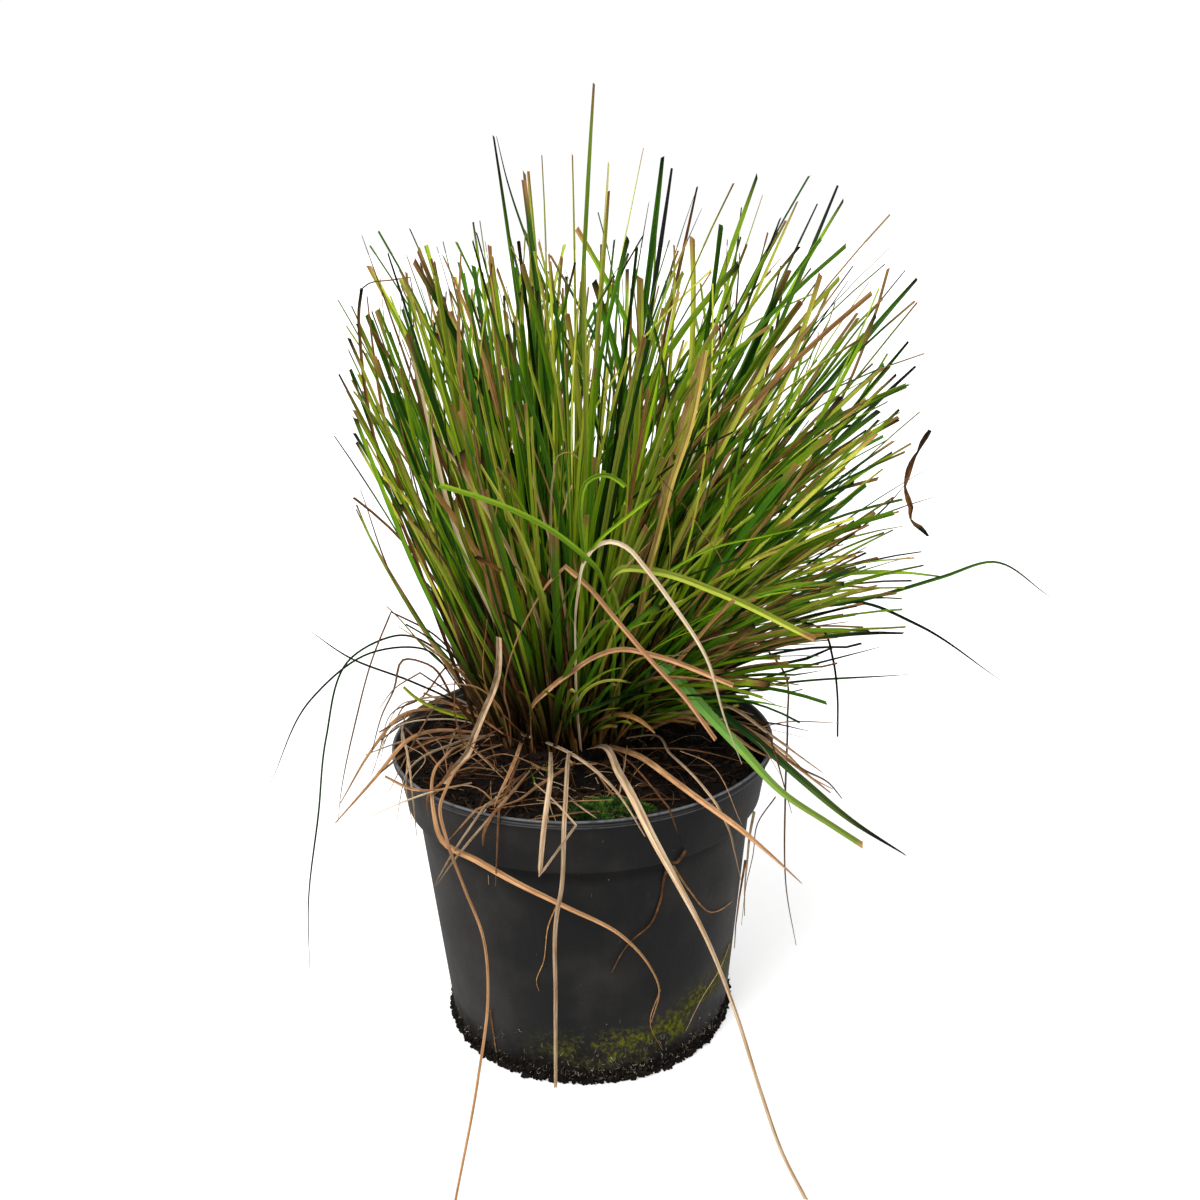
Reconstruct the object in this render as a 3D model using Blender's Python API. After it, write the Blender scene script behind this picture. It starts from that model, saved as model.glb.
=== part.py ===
"""Potted ornamental grass clump: a pot, its compost, a moss patch, and a clump of sheared shoots.

Metres, +Z up. The origin is the centre of the pot's underside, and the front of the plant is -Y.
"""

import math
import random

import bmesh
import bpy
from mathutils import Vector

MM = 0.001
GAP = 0.3 * MM  # between pieces that touch
SHARP_EDGE = math.radians(35)
HALVINGS = 40  # steps of each search by halving

# Pot: a 19 cm nursery pot
POT_HEIGHT = 152 * MM
RIM_RADIUS = 95 * MM
BASE_RADIUS = 72.5 * MM
COLLAR_HEIGHT = 30 * MM
COLLAR_BOTTOM_RADIUS = 88.9 * MM
COLLAR_TOP_RADIUS = 92.9 * MM
NECK_RADIUS = 84.2 * MM  # the body just under the collar
BEAD_HEIGHT = 5 * MM
WALL = 1.3 * MM
FLOOR_THICKNESS = 1.5 * MM
FOOT_WIDTH = 8.5 * MM
RECESS_RISE = 3 * MM
CENTRE_PAD_RADIUS = 30 * MM
POT_SEGMENTS = 44
DRAIN_HOLES = 8
DRAIN_RADIUS = 6 * MM
DRAIN_CIRCLE_RADIUS = 50 * MM
DRAIN_SEGMENTS = 10

# Compost, crown and moss
SOIL_TOP = 143 * MM
SOIL_EDGE_TOP = 140 * MM
SOIL_SHOULDER_RADIUS = 78 * MM
CROWN_CENTRE = Vector((-10 * MM, 28 * MM, 0))
CROWN_RADIUS = 44 * MM
CROWN_HEIGHT = 4.2 * MM
CROWN_SEGMENTS = 20
MOSS_CENTRE = Vector((13 * MM, -71 * MM, 0))
MOSS_HALF_LENGTH = 19 * MM
MOSS_HALF_WIDTH = 9 * MM
MOSS_HEIGHT = 4.5 * MM
MOSS_SEGMENTS = 16

# Fan of the shoots: how far they lean, and how the lean grows along them
SHOOT_SPACING = 13 * MM
SHOOT_RINGS = 3
FAN_RADIUS = 40 * MM
ROOT_LIMIT = 1.6 * FAN_RADIUS
LEAN_MEAN = math.radians(42)
LEAN_TO_RIGHT = math.radians(16)
LEAN_TO_BACK = math.radians(4)
LEAN_LIMIT = math.radians(84)
LEAN_SHARE_AT_ROOT = 0.7
LEAST_BEND = 1e-4  # radians a metre, so that the middle blade isn't quite straight
CUT_LENGTH = 225 * MM
CUT_SHORTEST = 0.80
CUT_LONGEST = 1.06
SPREAD_MEAN = 136 * MM
SPREAD_TO_RIGHT = 36 * MM
SPREAD_SHORTEST = 0.86
SPREAD_LONGEST = 1.02

# One shoot: a short sheath, and the blades that grow from it
BLADES_PER_SHOOT = 8
LONG_BLADES_PER_SHOOT = 4
SHEATH_LENGTH = 12 * MM
SHEATH_FOOT_RADIUS = 3.0 * MM
SHEATH_TOP_RADIUS = 3.7 * MM
SHEATH_CORE_RADIUS = 1.6 * MM
BLADE_ROOT_SPREAD = 2.5 * MM
BLADE_TIP_SPREAD = 5.0 * MM
BLADE_WIDTH = 3.3 * MM
BLADE_KEEL = 1.0 * MM
CUT_TIP_SHARE = 0.75
GROWN_TIP_SHARE = 0.3
BLADE_STATIONS = (0.34, 0.68, 1.0)
STATION_STEP = 0.05  # back from a station, to read the blade's heading there
SEED = 19

# Tips of the blades that stand out of the sheared top and sides, in millimetres
LONG_TIPS = (
    # left side, from the top down
    (-94, 20, 393), (-77, -20, 386), (-105, 40, 361), (-101, 0, 344), (-110, 20, 331), (-115, 20, 302),
    (-56, -20, 388), (-73, 60, 380),
    # top, from left to right
    (-43, 20, 398), (-34, -40, 390), (-33, 42, 436), (-18, 0, 418), (-18, 60, 421), (3, -20, 424),
    (14, 30, 456), (21, 62, 424), (18, -22, 409), (35, -20, 404), (44, 20, 424), (50, 42, 420),
    (64, 62, 412), (74, -22, 389), (87, 20, 415), (96, 62, 407), (91, -20, 396), (113, 60, 404),
    # right side, from the top down
    (111, 0, 402), (124, 20, 410), (136, 62, 404), (121, -22, 370), (151, 64, 365), (157, 20, 372),
    (174, 60, 366), (149, -20, 343), (170, 40, 325), (152, 0, 310), (161, 42, 282), (174, 20, 278),
    (189, 60, 254), (146, -22, 258), (172, 18, 236), (162, -20, 240), (190, 40, 216), (153, -24, 208),
    (156, 20, 186), (132, -42, 216), (174, 30, 172),
)

# Single blades that leave the fan: name, width and route in millimetres, from the crown to the tip
STRAY_KEEL = 0.9 * MM
STRAY_TIP_SHARE = 0.35
STRAY_FACING = Vector((0.0, -0.94, 0.34))
DRY_STRAYS = (
    ("dry_blade_to_floor_right", 4.4, (
        (3, -13, 149), (9, -24, 155), (16, -61, 158), (22, -89, 157), (28, -102, 148),
        (38, -110, 130), (48, -117, 111), (61, -127, 77), (70, -138, 47), (79, -146, 20), (88, -152, 2))),
    ("dry_blade_to_floor_left", 3.2, (
        (-40, -5, 149), (-53, -36, 157), (-61, -72, 159), (-63, -84, 155), (-61, -84, 140),
        (-55, -79, 112), (-48, -79, 86), (-47, -84, 60), (-52, -104, 29), (-60, -145, 2))),
    ("dry_blade_across_pot", 4.2, (
        (-49, 4, 149), (-58, -7, 151), (-65, -43, 160), (-68, -56, 160), (-68, -70, 156),
        (-67, -75, 148), (-64, -76, 135), (-49, -80, 127), (-33, -85, 119), (-12, -88, 108),
        (14, -87, 91), (27, -83, 72), (32, -79, 55), (28, -78, 37))),
    ("dry_blade_hanging_front", 2.6, (
        (-6, -16, 149), (-7, -40, 158), (-8, -80, 160), (-9, -100, 154), (-11, -99, 124),
        (-14, -96, 106), (-16, -88, 60), (-18, -80, 4))),
    ("dry_blade_folded_front", 3.4, (
        (-16, -16, 149), (-16, -72, 161), (-19, -101, 158), (-22, -105, 136), (-20, -107, 130),
        (-16, -108, 129), (-11, -107, 134), (-3, -106, 154))),
    ("dry_blade_over_rim_right", 3.8, (
        (13, -11, 149), (27, -40, 156), (39, -68, 158), (51, -90, 157), (64, -99, 150), (78, -105, 139),
        (91, -109, 127))),
    ("dry_blade_thin_over_rim", 2.6, (
        (22, -2, 149), (33, -6, 152), (41, -40, 157), (53, -80, 158), (57, -89, 155), (62, -89, 144),
        (66, -80, 128), (71, -69, 105))),
    ("dry_arch_folded", 3.4, (
        (-36, -6, 149), (-35, -22, 172), (-36, -34, 189), (-31, -48, 212), (-21, -64, 237),
        (-13, -74, 252), (-5, -82, 262), (5, -85, 253), (13, -87, 243), (29, -90, 223),
        (43, -90, 206), (56, -92, 187))),
    ("dry_arch_tall", 3.0, (
        (-1, -15, 149), (-2, -30, 172), (-2, -58, 214), (0, -89, 253), (3, -96, 268), (8, -99, 275),
        (13, -101, 277), (19, -102, 275), (26, -102, 267), (37, -101, 251), (51, -100, 227),
        (59, -97, 199), (67, -93, 176))),
    ("dry_arch_low", 3.6, (
        (-25, -12, 149), (-25, -20, 164), (-24, -28, 177), (-15, -44, 193), (-4, -59, 207),
        (7, -67, 217), (18, -73, 222), (32, -77, 220), (64, -86, 209))),
    ("dry_blade_right_rim", 3.2, (
        (35, 17, 149), (60, 0, 160), (78, -26, 163), (98, -34, 149), (117, -42, 135))),
    ("dry_blade_left_rim", 3.4, (
        (-51, 10, 149), (-74, -6, 158), (-86, -28, 161), (-98, -36, 149), (-118, -44, 129))),
    ("dry_blade_left_rim_behind", 3.2, (
        (-53, 34, 149), (-76, 20, 159), (-92, 0, 163), (-105, -6, 149), (-122, -12, 123))),
    ("dry_blade_hanging_right", 1.8, (
        (33, 33, 149), (56, 32, 178), (86, 28, 190), (106, 23, 170), (107, 20, 146),
        (105, 10, 111), (105, 0, 58), (111, 0, 24))),
    ("dry_blade_cut_left", 4.2, (
        (-66, -42, 147), (-62, -26, 147), (-57, -22, 151), (-52, -25, 163), (-46, -31, 178),
        (-40, -38, 193), (-37, -46, 206), (-36, -50, 221))),
)
GREEN_STRAYS = (
    ("green_yellow_blade_right", 3.4, (
        (8, -12, 149), (10, -17, 165), (16, -25, 180), (19, -51, 218), (16, -68, 243), (14, -82, 257),
        (18, -88, 262), (33, -91, 261), (57, -93, 252), (96, -96, 232))),
    ("green_arc_left", 3.6, (
        (17, -8, 149), (14, -42, 191), (15, -60, 217), (14, -74, 236), (11, -82, 252), (4, -108, 272),
        (-12, -117, 288), (-28, -123, 298), (-49, -128, 307))),
    ("broad_green_blade", 6.2, (
        (30, 2, 149), (32, -15, 173), (32, -25, 191), (35, -32, 201), (41, -38, 198), (54, -48, 185),
        (71, -63, 169), (87, -79, 155), (106, -91, 145), (119, -98, 138))),
    ("broad_green_blade_behind", 4.4, (
        (37, 8, 149), (47, 0, 168), (55, -8, 178), (67, -23, 170), (83, -39, 161),
        (100, -54, 149), (121, -68, 134), (144, -78, 121))),
    ("green_blade_far_right", 2.8, (
        (33, 54, 149), (60, 50, 172), (95, 38, 196), (150, 24, 211), (184, 20, 222),
        (209, 20, 229), (239, 20, 210))),
)
DARK_STRAYS = (
    ("dark_arc_left", 2.0, (
        (-52, 22, 149), (-63, 8, 178), (-76, -8, 202), (-99, -20, 205), (-127, -29, 186),
        (-150, -32, 144))),
    ("dark_blade_hanging_left", 1.8, (
        (-53, 46, 149), (-76, 30, 197), (-95, 24, 211), (-106, 22, 187), (-117, 21, 154),
        (-129, 20, 109), (-132, 20, 91))),
    ("dark_blade_left", 1.6, (
        (-54, 28, 149), (-66, 16, 165), (-85, 4, 181), (-115, 2, 196), (-132, 0, 211))),
    ("dark_blade_trailing_left", 1.8, (
        (-48, 55, 149), (-98, 48, 190), (-121, 44, 180), (-136, 32, 139), (-141, 20, 102),
        (-146, 0, 62), (-147, -10, 23))),
    ("dark_blade_far_right", 2.0, (
        (35, 24, 149), (60, 14, 180), (95, 6, 203), (138, 4, 215), (166, 0, 204), (210, 0, 173))),
)


def clear_scene():
    """Remove every object, so that the file holds the plant alone."""
    for item in list(bpy.data.objects):
        bpy.data.objects.remove(item, do_unlink=True)


def principled(name, colour, roughness):
    """Material of one piece: a Principled BSDF with its colour and roughness."""
    material = bpy.data.materials.new(name)
    material.use_nodes = True
    shader = material.node_tree.nodes["Principled BSDF"]
    shader.inputs["Base Color"].default_value = (*colour, 1.0)
    shader.inputs["Roughness"].default_value = roughness
    shader.inputs["Metallic"].default_value = 0.0
    return material


def pot_plastic():
    """Charcoal moulded plastic of the pot."""
    return principled("pot_plastic", (0.035, 0.035, 0.037), 0.45)


def compost():
    """Dark, moist compost."""
    return principled("compost", (0.020, 0.014, 0.010), 0.95)


def crown_straw():
    """Brown bases of old shoots."""
    return principled("crown_straw", (0.16, 0.09, 0.04), 0.9)


def moss_green():
    """Dark green moss."""
    return principled("moss_green", (0.03, 0.09, 0.02), 0.95)


def leaf_green():
    """Living grass blades."""
    return principled("leaf_green", (0.09, 0.19, 0.03), 0.45)


def dry_straw():
    """Dead, tan blades."""
    return principled("dry_straw", (0.50, 0.31, 0.14), 0.7)


def dark_leaf():
    """Thin blades that have gone dark."""
    return principled("dark_leaf", (0.03, 0.04, 0.015), 0.5)


def add_piece(name, mesh_data, material):
    """Put a finished bmesh into the scene as a named object with its material."""
    bmesh.ops.recalc_face_normals(mesh_data, faces=mesh_data.faces)
    mesh = bpy.data.meshes.new(name)
    mesh_data.to_mesh(mesh)
    mesh_data.free()
    mesh.materials.append(material)
    piece = bpy.data.objects.new(name, mesh)
    bpy.context.collection.objects.link(piece)
    return piece


def shade_round(piece):
    """Smooth shading with sharp edges kept at corners."""
    piece.data.shade_smooth()
    piece.data.set_sharp_from_angle(angle=SHARP_EDGE)


def turned(profile, segments):
    """Solid turned about Z from (radius, height) points that start and end on the axis."""
    shape = bmesh.new()
    rings = []
    for radius, height in profile:
        if radius == 0:
            rings.append([shape.verts.new((0, 0, height))])
            continue
        angles = [math.tau * step / segments for step in range(segments)]
        rings.append([shape.verts.new((radius * math.cos(a), radius * math.sin(a), height)) for a in angles])
    for lower, upper in zip(rings, rings[1:]):
        for step in range(segments):
            after = (step + 1) % segments
            corners = (lower[step % len(lower)], lower[after % len(lower)],
                       upper[after % len(upper)], upper[step % len(upper)])
            shape.faces.new(list(dict.fromkeys(corners)))
    return shape


def pot_profile():
    """Half section of the pot: underside, outside with its collar and bead, then the inside."""
    collar_bottom = POT_HEIGHT - COLLAR_HEIGHT
    bead_bottom = POT_HEIGHT - BEAD_HEIGHT
    slope = 2 * MM  # of the recess's sides
    outside = [
        (0, 0),
        (CENTRE_PAD_RADIUS, 0),
        (CENTRE_PAD_RADIUS + slope, RECESS_RISE),
        (BASE_RADIUS - FOOT_WIDTH - slope, RECESS_RISE),
        (BASE_RADIUS - FOOT_WIDTH, 0),
        (BASE_RADIUS, 0),
        (NECK_RADIUS, collar_bottom - 1 * MM),
        (COLLAR_BOTTOM_RADIUS, collar_bottom + 1.5 * MM),
        (COLLAR_TOP_RADIUS, bead_bottom),
        (RIM_RADIUS, bead_bottom + 2 * MM),
        (RIM_RADIUS, POT_HEIGHT),
    ]
    inside = [
        (RIM_RADIUS - WALL, POT_HEIGHT),
        (COLLAR_TOP_RADIUS - WALL, bead_bottom),
        (COLLAR_BOTTOM_RADIUS - WALL, collar_bottom + 2.6 * MM),
        (NECK_RADIUS - WALL, collar_bottom),
        (BASE_RADIUS - WALL, FLOOR_THICKNESS),
        (BASE_RADIUS - FOOT_WIDTH + 0.6 * MM, FLOOR_THICKNESS),
        (BASE_RADIUS - FOOT_WIDTH - slope + 0.4 * MM, RECESS_RISE + FLOOR_THICKNESS),
        (CENTRE_PAD_RADIUS + slope - 0.4 * MM, RECESS_RISE + FLOOR_THICKNESS),
        (CENTRE_PAD_RADIUS - 0.6 * MM, FLOOR_THICKNESS),
        (0, FLOOR_THICKNESS),
    ]
    return outside + inside


def drain_cutter(number):
    """Guide cylinder that cuts one drainage hole through the raised part of the floor."""
    angle = math.tau * (number + 0.5) / DRAIN_HOLES
    shape = bmesh.new()
    bmesh.ops.create_cone(shape, cap_ends=True, segments=DRAIN_SEGMENTS, radius1=DRAIN_RADIUS,
                          radius2=DRAIN_RADIUS, depth=12 * MM)
    cutter = add_piece(f"drain_cutter_{number + 1}", shape, pot_plastic())
    cutter.location = (DRAIN_CIRCLE_RADIUS * math.cos(angle), DRAIN_CIRCLE_RADIUS * math.sin(angle), 0)
    cutter.hide_render = True
    cutter.display_type = "WIRE"
    return cutter


def make_pot():
    """The pot, turned in one piece, with its drainage holes."""
    pot = add_piece("pot", turned(pot_profile(), POT_SEGMENTS), pot_plastic())
    for number in range(DRAIN_HOLES):
        cut = pot.modifiers.new(f"drain_{number + 1}", "BOOLEAN")
        cut.operation = "DIFFERENCE"
        cut.solver = "EXACT"
        cut.object = drain_cutter(number)
    shade_round(pot)
    return pot


def make_soil():
    """Compost that fills the pot to 10 mm below the rim, a little higher in the middle."""
    pot_inside = pot_profile()[-9:]
    side_gap = 1.5 * GAP
    collar_top, collar_bottom, neck, floor_edge, foot, recess_out, recess_in, pad, middle = pot_inside
    share = (SOIL_EDGE_TOP - collar_bottom[1]) / (collar_top[1] - collar_bottom[1])
    edge_radius = collar_bottom[0] + share * (collar_top[0] - collar_bottom[0])
    profile = [
        (0, middle[1] + GAP),
        (pad[0] - GAP, pad[1] + GAP),
        (recess_in[0] - GAP, recess_in[1] + GAP),
        (recess_out[0] + GAP, recess_out[1] + GAP),
        (foot[0] + GAP, foot[1] + GAP),
        (floor_edge[0] - side_gap, floor_edge[1] + GAP),
        (neck[0] - side_gap, neck[1]),
        (collar_bottom[0] - side_gap, collar_bottom[1] + GAP),
        (edge_radius - side_gap, SOIL_EDGE_TOP),
        (SOIL_SHOULDER_RADIUS, SOIL_TOP - 0.6 * MM),
        (0, SOIL_TOP),
    ]
    soil = add_piece("soil", turned(profile, POT_SEGMENTS), compost())
    shade_round(soil)
    return soil


def make_crown():
    """Low pad of old shoot bases, resting on the compost, that every shoot grows from."""
    top = SOIL_TOP + GAP + CROWN_HEIGHT
    profile = [
        (0, SOIL_TOP + GAP),
        (CROWN_RADIUS - 1.5 * MM, SOIL_TOP + GAP),
        (CROWN_RADIUS, SOIL_TOP + 1.5 * MM),
        (CROWN_RADIUS - 2 * MM, top),
        (0, top),
    ]
    crown = add_piece("crown", turned(profile, CROWN_SEGMENTS), crown_straw())
    crown.location = CROWN_CENTRE
    shade_round(crown)
    return crown


def make_moss():
    """Oval cushion of moss at the front, on the compost inside the rim."""
    foot = SOIL_TOP + GAP
    profile = [(0, foot), (0.93, foot), (1.0, foot + 0.3 * MOSS_HEIGHT), (0.72, foot + 0.8 * MOSS_HEIGHT),
               (0, foot + MOSS_HEIGHT)]
    shape = turned(profile, MOSS_SEGMENTS)
    for corner in shape.verts:
        corner.co.x = MOSS_CENTRE.x + corner.co.x * MOSS_HALF_LENGTH
        corner.co.y = MOSS_CENTRE.y + corner.co.y * MOSS_HALF_WIDTH
    moss = add_piece("moss_patch", shape, moss_green())
    shade_round(moss)
    return moss


def lean_towards(bearing):
    """Lean of the outermost blades on a bearing: most to the right, least to the left."""
    return LEAN_MEAN + LEAN_TO_RIGHT * math.cos(bearing) + LEAN_TO_BACK * math.sin(bearing)


def fan_point(root, run):
    """Point reached after a run along the blade that grows from a root on the crown.

    The root is measured from the crown's centre. The blade stays in the upright plane through the
    centre and its root, and leans out more the farther out it grows, so no two blades cross.
    """
    bearing = math.atan2(root.y, root.x)
    full = min(lean_towards(bearing) * root.length / FAN_RADIUS, LEAN_LIMIT)
    start = full * LEAN_SHARE_AT_ROOT
    bend = max(full * (1 - LEAN_SHARE_AT_ROOT) / CUT_LENGTH, LEAST_BEND)
    end = start + bend * run
    outward = (math.cos(start) - math.cos(end)) / bend
    height = (math.sin(end) - math.sin(start)) / bend
    reach = root.length + outward
    foot = SOIL_TOP + CROWN_HEIGHT + 2 * GAP
    return Vector((CROWN_CENTRE.x + reach * math.cos(bearing), CROWN_CENTRE.y + reach * math.sin(bearing),
                   foot + height))


def run_to_height(root, height):
    """Run along a blade at which it reaches a height, found by halving."""
    low, high = 0.0, 2 * CUT_LENGTH
    for _ in range(HALVINGS):
        middle = (low + high) / 2
        if fan_point(root, middle).z < height:
            low = middle
        else:
            high = middle
    return low


def spread_limit(bearing):
    """Farthest that the sheared blades reach from the crown's centre on a bearing."""
    return SPREAD_MEAN + SPREAD_TO_RIGHT * math.cos(bearing)


def run_to_reach(root, reach):
    """Run along a blade at which it reaches a distance from the crown's centre, found by halving."""
    low, high = 0.0, 2 * CUT_LENGTH
    for _ in range(HALVINGS):
        middle = (low + high) / 2
        reached = fan_point(root, middle)
        if math.hypot(reached.x - CROWN_CENTRE.x, reached.y - CROWN_CENTRE.y) < reach:
            low = middle
        else:
            high = middle
    return low


def fan_root(tip):
    """Root and run of the blade that ends at a tip, found by halving the root's distance."""
    flat = Vector((tip.x - CROWN_CENTRE.x, tip.y - CROWN_CENTRE.y))
    low, high = 0.0, ROOT_LIMIT
    for _ in range(HALVINGS):
        root = flat.normalized() * (low + high) / 2
        run = run_to_height(root, tip.z)
        reached = fan_point(root, run)
        reach = math.hypot(reached.x - CROWN_CENTRE.x, reached.y - CROWN_CENTRE.y)
        if reach < flat.length:
            low = root.length
        else:
            high = root.length
    return root, run


def shoot_roots():
    """Roots of the shoots: a hexagonal grid on the crown, without its six far corners."""
    across = Vector((SHOOT_SPACING, 0))
    along = Vector((SHOOT_SPACING / 2, SHOOT_SPACING * math.sqrt(3) / 2))
    roots = []
    for row in range(-SHOOT_RINGS, SHOOT_RINGS + 1):
        for column in range(-SHOOT_RINGS, SHOOT_RINGS + 1):
            if abs(row + column) > SHOOT_RINGS:
                continue
            root = across * column + along * row
            if root.length < SHOOT_SPACING * SHOOT_RINGS * 0.95:
                roots.append(root)
    return roots


def angle_between(first, second):
    """Unsigned difference of two bearings."""
    return abs((first - second + math.pi) % math.tau - math.pi)


def shoot_blades(root, own_tips, chance):
    """Blades of one shoot as (bearing, tip root, run, tip share), in order around the sheath."""
    turn = chance.uniform(0, math.tau)
    slots = [(turn + math.tau * step / BLADES_PER_SHOOT) % math.tau for step in range(BLADES_PER_SHOOT)]
    blades = []
    for tip_root, run in own_tips:
        offset = tip_root - root
        bearing = math.atan2(offset.y, offset.x) % math.tau
        nearest = min(slots, key=lambda slot: angle_between(slot, bearing))
        slots.remove(nearest)
        blades.append((bearing, tip_root, run, GROWN_TIP_SHARE))
    for bearing in slots:
        tip_root = root + Vector((math.cos(bearing), math.sin(bearing))) * BLADE_TIP_SPREAD
        farthest = spread_limit(math.atan2(tip_root.y, tip_root.x))
        reach = farthest * chance.uniform(SPREAD_SHORTEST, SPREAD_LONGEST)
        run = min(CUT_LENGTH * chance.uniform(CUT_SHORTEST, CUT_LONGEST), run_to_reach(tip_root, reach))
        blades.append((bearing, tip_root, run, CUT_TIP_SHARE))
    return sorted(blades, key=lambda blade: blade[0])


def sheath_ring(shape, root, run, radius, turn):
    """Ring of a shoot's sheath: one corner for each blade."""
    centre = fan_point(root, run)
    ring = []
    for step in range(BLADES_PER_SHOOT):
        angle = turn + math.tau * step / BLADES_PER_SHOOT
        ring.append(shape.verts.new(centre + Vector((math.cos(angle), math.sin(angle), 0)) * radius))
    return ring


def blade_section(blade, root, station):
    """Section of a blade at a share of its run: keel on the side away from its shoot, then the edges."""
    bearing, tip_root, run, tip_share = blade
    here = fan_point(root.lerp(tip_root, station), run * station)
    before = fan_point(root.lerp(tip_root, station - STATION_STEP), run * (station - STATION_STEP))
    heading = (here - before).normalized()
    across = heading.cross(Vector((math.cos(bearing), math.sin(bearing), 0))).normalized()
    back = across.cross(heading)
    taper = max(0.0, station - BLADE_STATIONS[0]) / (1 - BLADE_STATIONS[0])
    size = 1 - (1 - tip_share) * taper
    half = across * BLADE_WIDTH * size / 2
    return here + back * BLADE_KEEL * size, here + half, here - half


def grow_blade(shape, face, root, blade):
    """Extrude one face of the sheath's top along its blade, station by station."""
    for station in BLADE_STATIONS:
        face = bmesh.ops.extrude_discrete_faces(shape, faces=[face])["faces"][0]
        for corner, place in zip(face.verts, blade_section(blade, root, station)):
            corner.co = place


def make_shoot(number, root, own_tips, material):
    """One shoot: a short sheath that stands on the crown, and its blades."""
    chance = random.Random(SEED * 1000 + number)
    blades = shoot_blades(root, own_tips, chance)
    step = math.tau / BLADES_PER_SHOOT
    turn = sum(math.remainder(blade[0] - index * step, math.tau) for index, blade in enumerate(blades))
    turn /= BLADES_PER_SHOOT
    shape = bmesh.new()
    foot = sheath_ring(shape, root, 0, SHEATH_FOOT_RADIUS, turn)
    for corner in foot:
        corner.co.z = SOIL_TOP + CROWN_HEIGHT + 2 * GAP
    top = sheath_ring(shape, root, SHEATH_LENGTH, SHEATH_TOP_RADIUS, turn)
    core = sheath_ring(shape, root, SHEATH_LENGTH, SHEATH_CORE_RADIUS, turn + step / 2)
    shape.faces.new(reversed(foot))
    shape.faces.new(core)
    starts = []
    for index in range(BLADES_PER_SHOOT):
        after = (index + 1) % BLADES_PER_SHOOT
        shape.faces.new((foot[index], foot[after], top[after], top[index]))
        shape.faces.new((core[index], top[index], top[after]))
        starts.append(shape.faces.new((top[index], core[index], core[index - 1])))
    for face, blade in zip(starts, blades):
        offset = Vector((math.cos(blade[0]), math.sin(blade[0]))) * BLADE_ROOT_SPREAD
        grow_blade(shape, face, root + offset, blade)
    return add_piece(f"shoot_{number:02d}", shape, material)


def make_shoots():
    """All the shoots, each with the long blades whose roots lie nearest to it."""
    roots = shoot_roots()
    own_tips = [[] for _ in roots]
    for tip in LONG_TIPS:
        tip_root, run = fan_root(Vector(tip) * MM)
        with_room = [index for index in range(len(roots)) if len(own_tips[index]) < LONG_BLADES_PER_SHOOT]
        nearest = min(with_room, key=lambda index: (roots[index] - tip_root).length)
        own_tips[nearest].append((tip_root, run))
    green = leaf_green()
    for index, root in enumerate(roots):
        make_shoot(index + 1, root, own_tips[index], green)


def route_frames(points):
    """Heading and width direction at each point of a route, without twist along it."""
    headings = []
    for index in range(len(points)):
        before = points[max(index - 1, 0)]
        after = points[min(index + 1, len(points) - 1)]
        headings.append((after - before).normalized())
    spans = [heading.cross(STRAY_FACING) for heading in headings]
    clearest = max(range(len(spans)), key=lambda index: spans[index].length)
    spans[clearest].normalize()
    order = list(range(clearest + 1, len(points))) + list(range(clearest - 1, -1, -1))
    for index in order:
        near = spans[index - 1] if index > clearest else spans[index + 1]
        spans[index] = (near - headings[index] * near.dot(headings[index])).normalized()
    return headings, spans


def make_stray(name, width, route, material):
    """One blade that leaves the fan: a keeled strip along its route."""
    points = [Vector(point) * MM for point in route]
    headings, spans = route_frames(points)
    shape = bmesh.new()
    rings = []
    for index, point in enumerate(points):
        share = index / (len(points) - 1)
        here = width * MM * (1 - (1 - STRAY_TIP_SHARE) * share ** 2)
        back = headings[index].cross(spans[index]) * STRAY_KEEL * (1 - 0.5 * share)
        ring = (point - spans[index] * here / 2, point + spans[index] * here / 2, point + back)
        rings.append([shape.verts.new(corner) for corner in ring])
    shape.faces.new(rings[0])
    shape.faces.new(reversed(rings[-1]))
    for lower, upper in zip(rings, rings[1:]):
        for side in range(3):
            after = (side + 1) % 3
            shape.faces.new((lower[side], upper[side], upper[after], lower[after]))
    return add_piece(name, shape, material)


def make_strays():
    """Every blade that hangs, arches or lies outside the fan."""
    groups = (
        (DRY_STRAYS, dry_straw()),
        (GREEN_STRAYS, leaf_green()),
        (DARK_STRAYS, dark_leaf()),
    )
    for blades, material in groups:
        for name, width, route in blades:
            make_stray(name, width, route, material)


def main():
    """Build the plant from the pot upwards."""
    clear_scene()
    make_pot()
    make_soil()
    make_crown()
    make_moss()
    make_shoots()
    make_strays()


main()
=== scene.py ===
"""Potted ornamental grass clump: the finish of every piece, the pale floor, soft light and camera.

Metres, +Z up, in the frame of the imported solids: the origin is the centre of the pot's underside, and
the front of the plant is -Y. Each sub-assembly is a class that builds and dresses its own pieces.
"""
from __future__ import annotations

import logging
from dataclasses import dataclass, field
from enum import Enum
from math import atan2, cos, hypot, pi, radians, sin, sqrt, tau
from random import Random
from typing import Callable, Iterable, Sequence

import bmesh
import bpy
import numpy as np
from bpy.types import ColorRamp, Material, Mesh, Node, NodeSocket, Object, World
from mathutils import Matrix, Vector, noise


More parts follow.
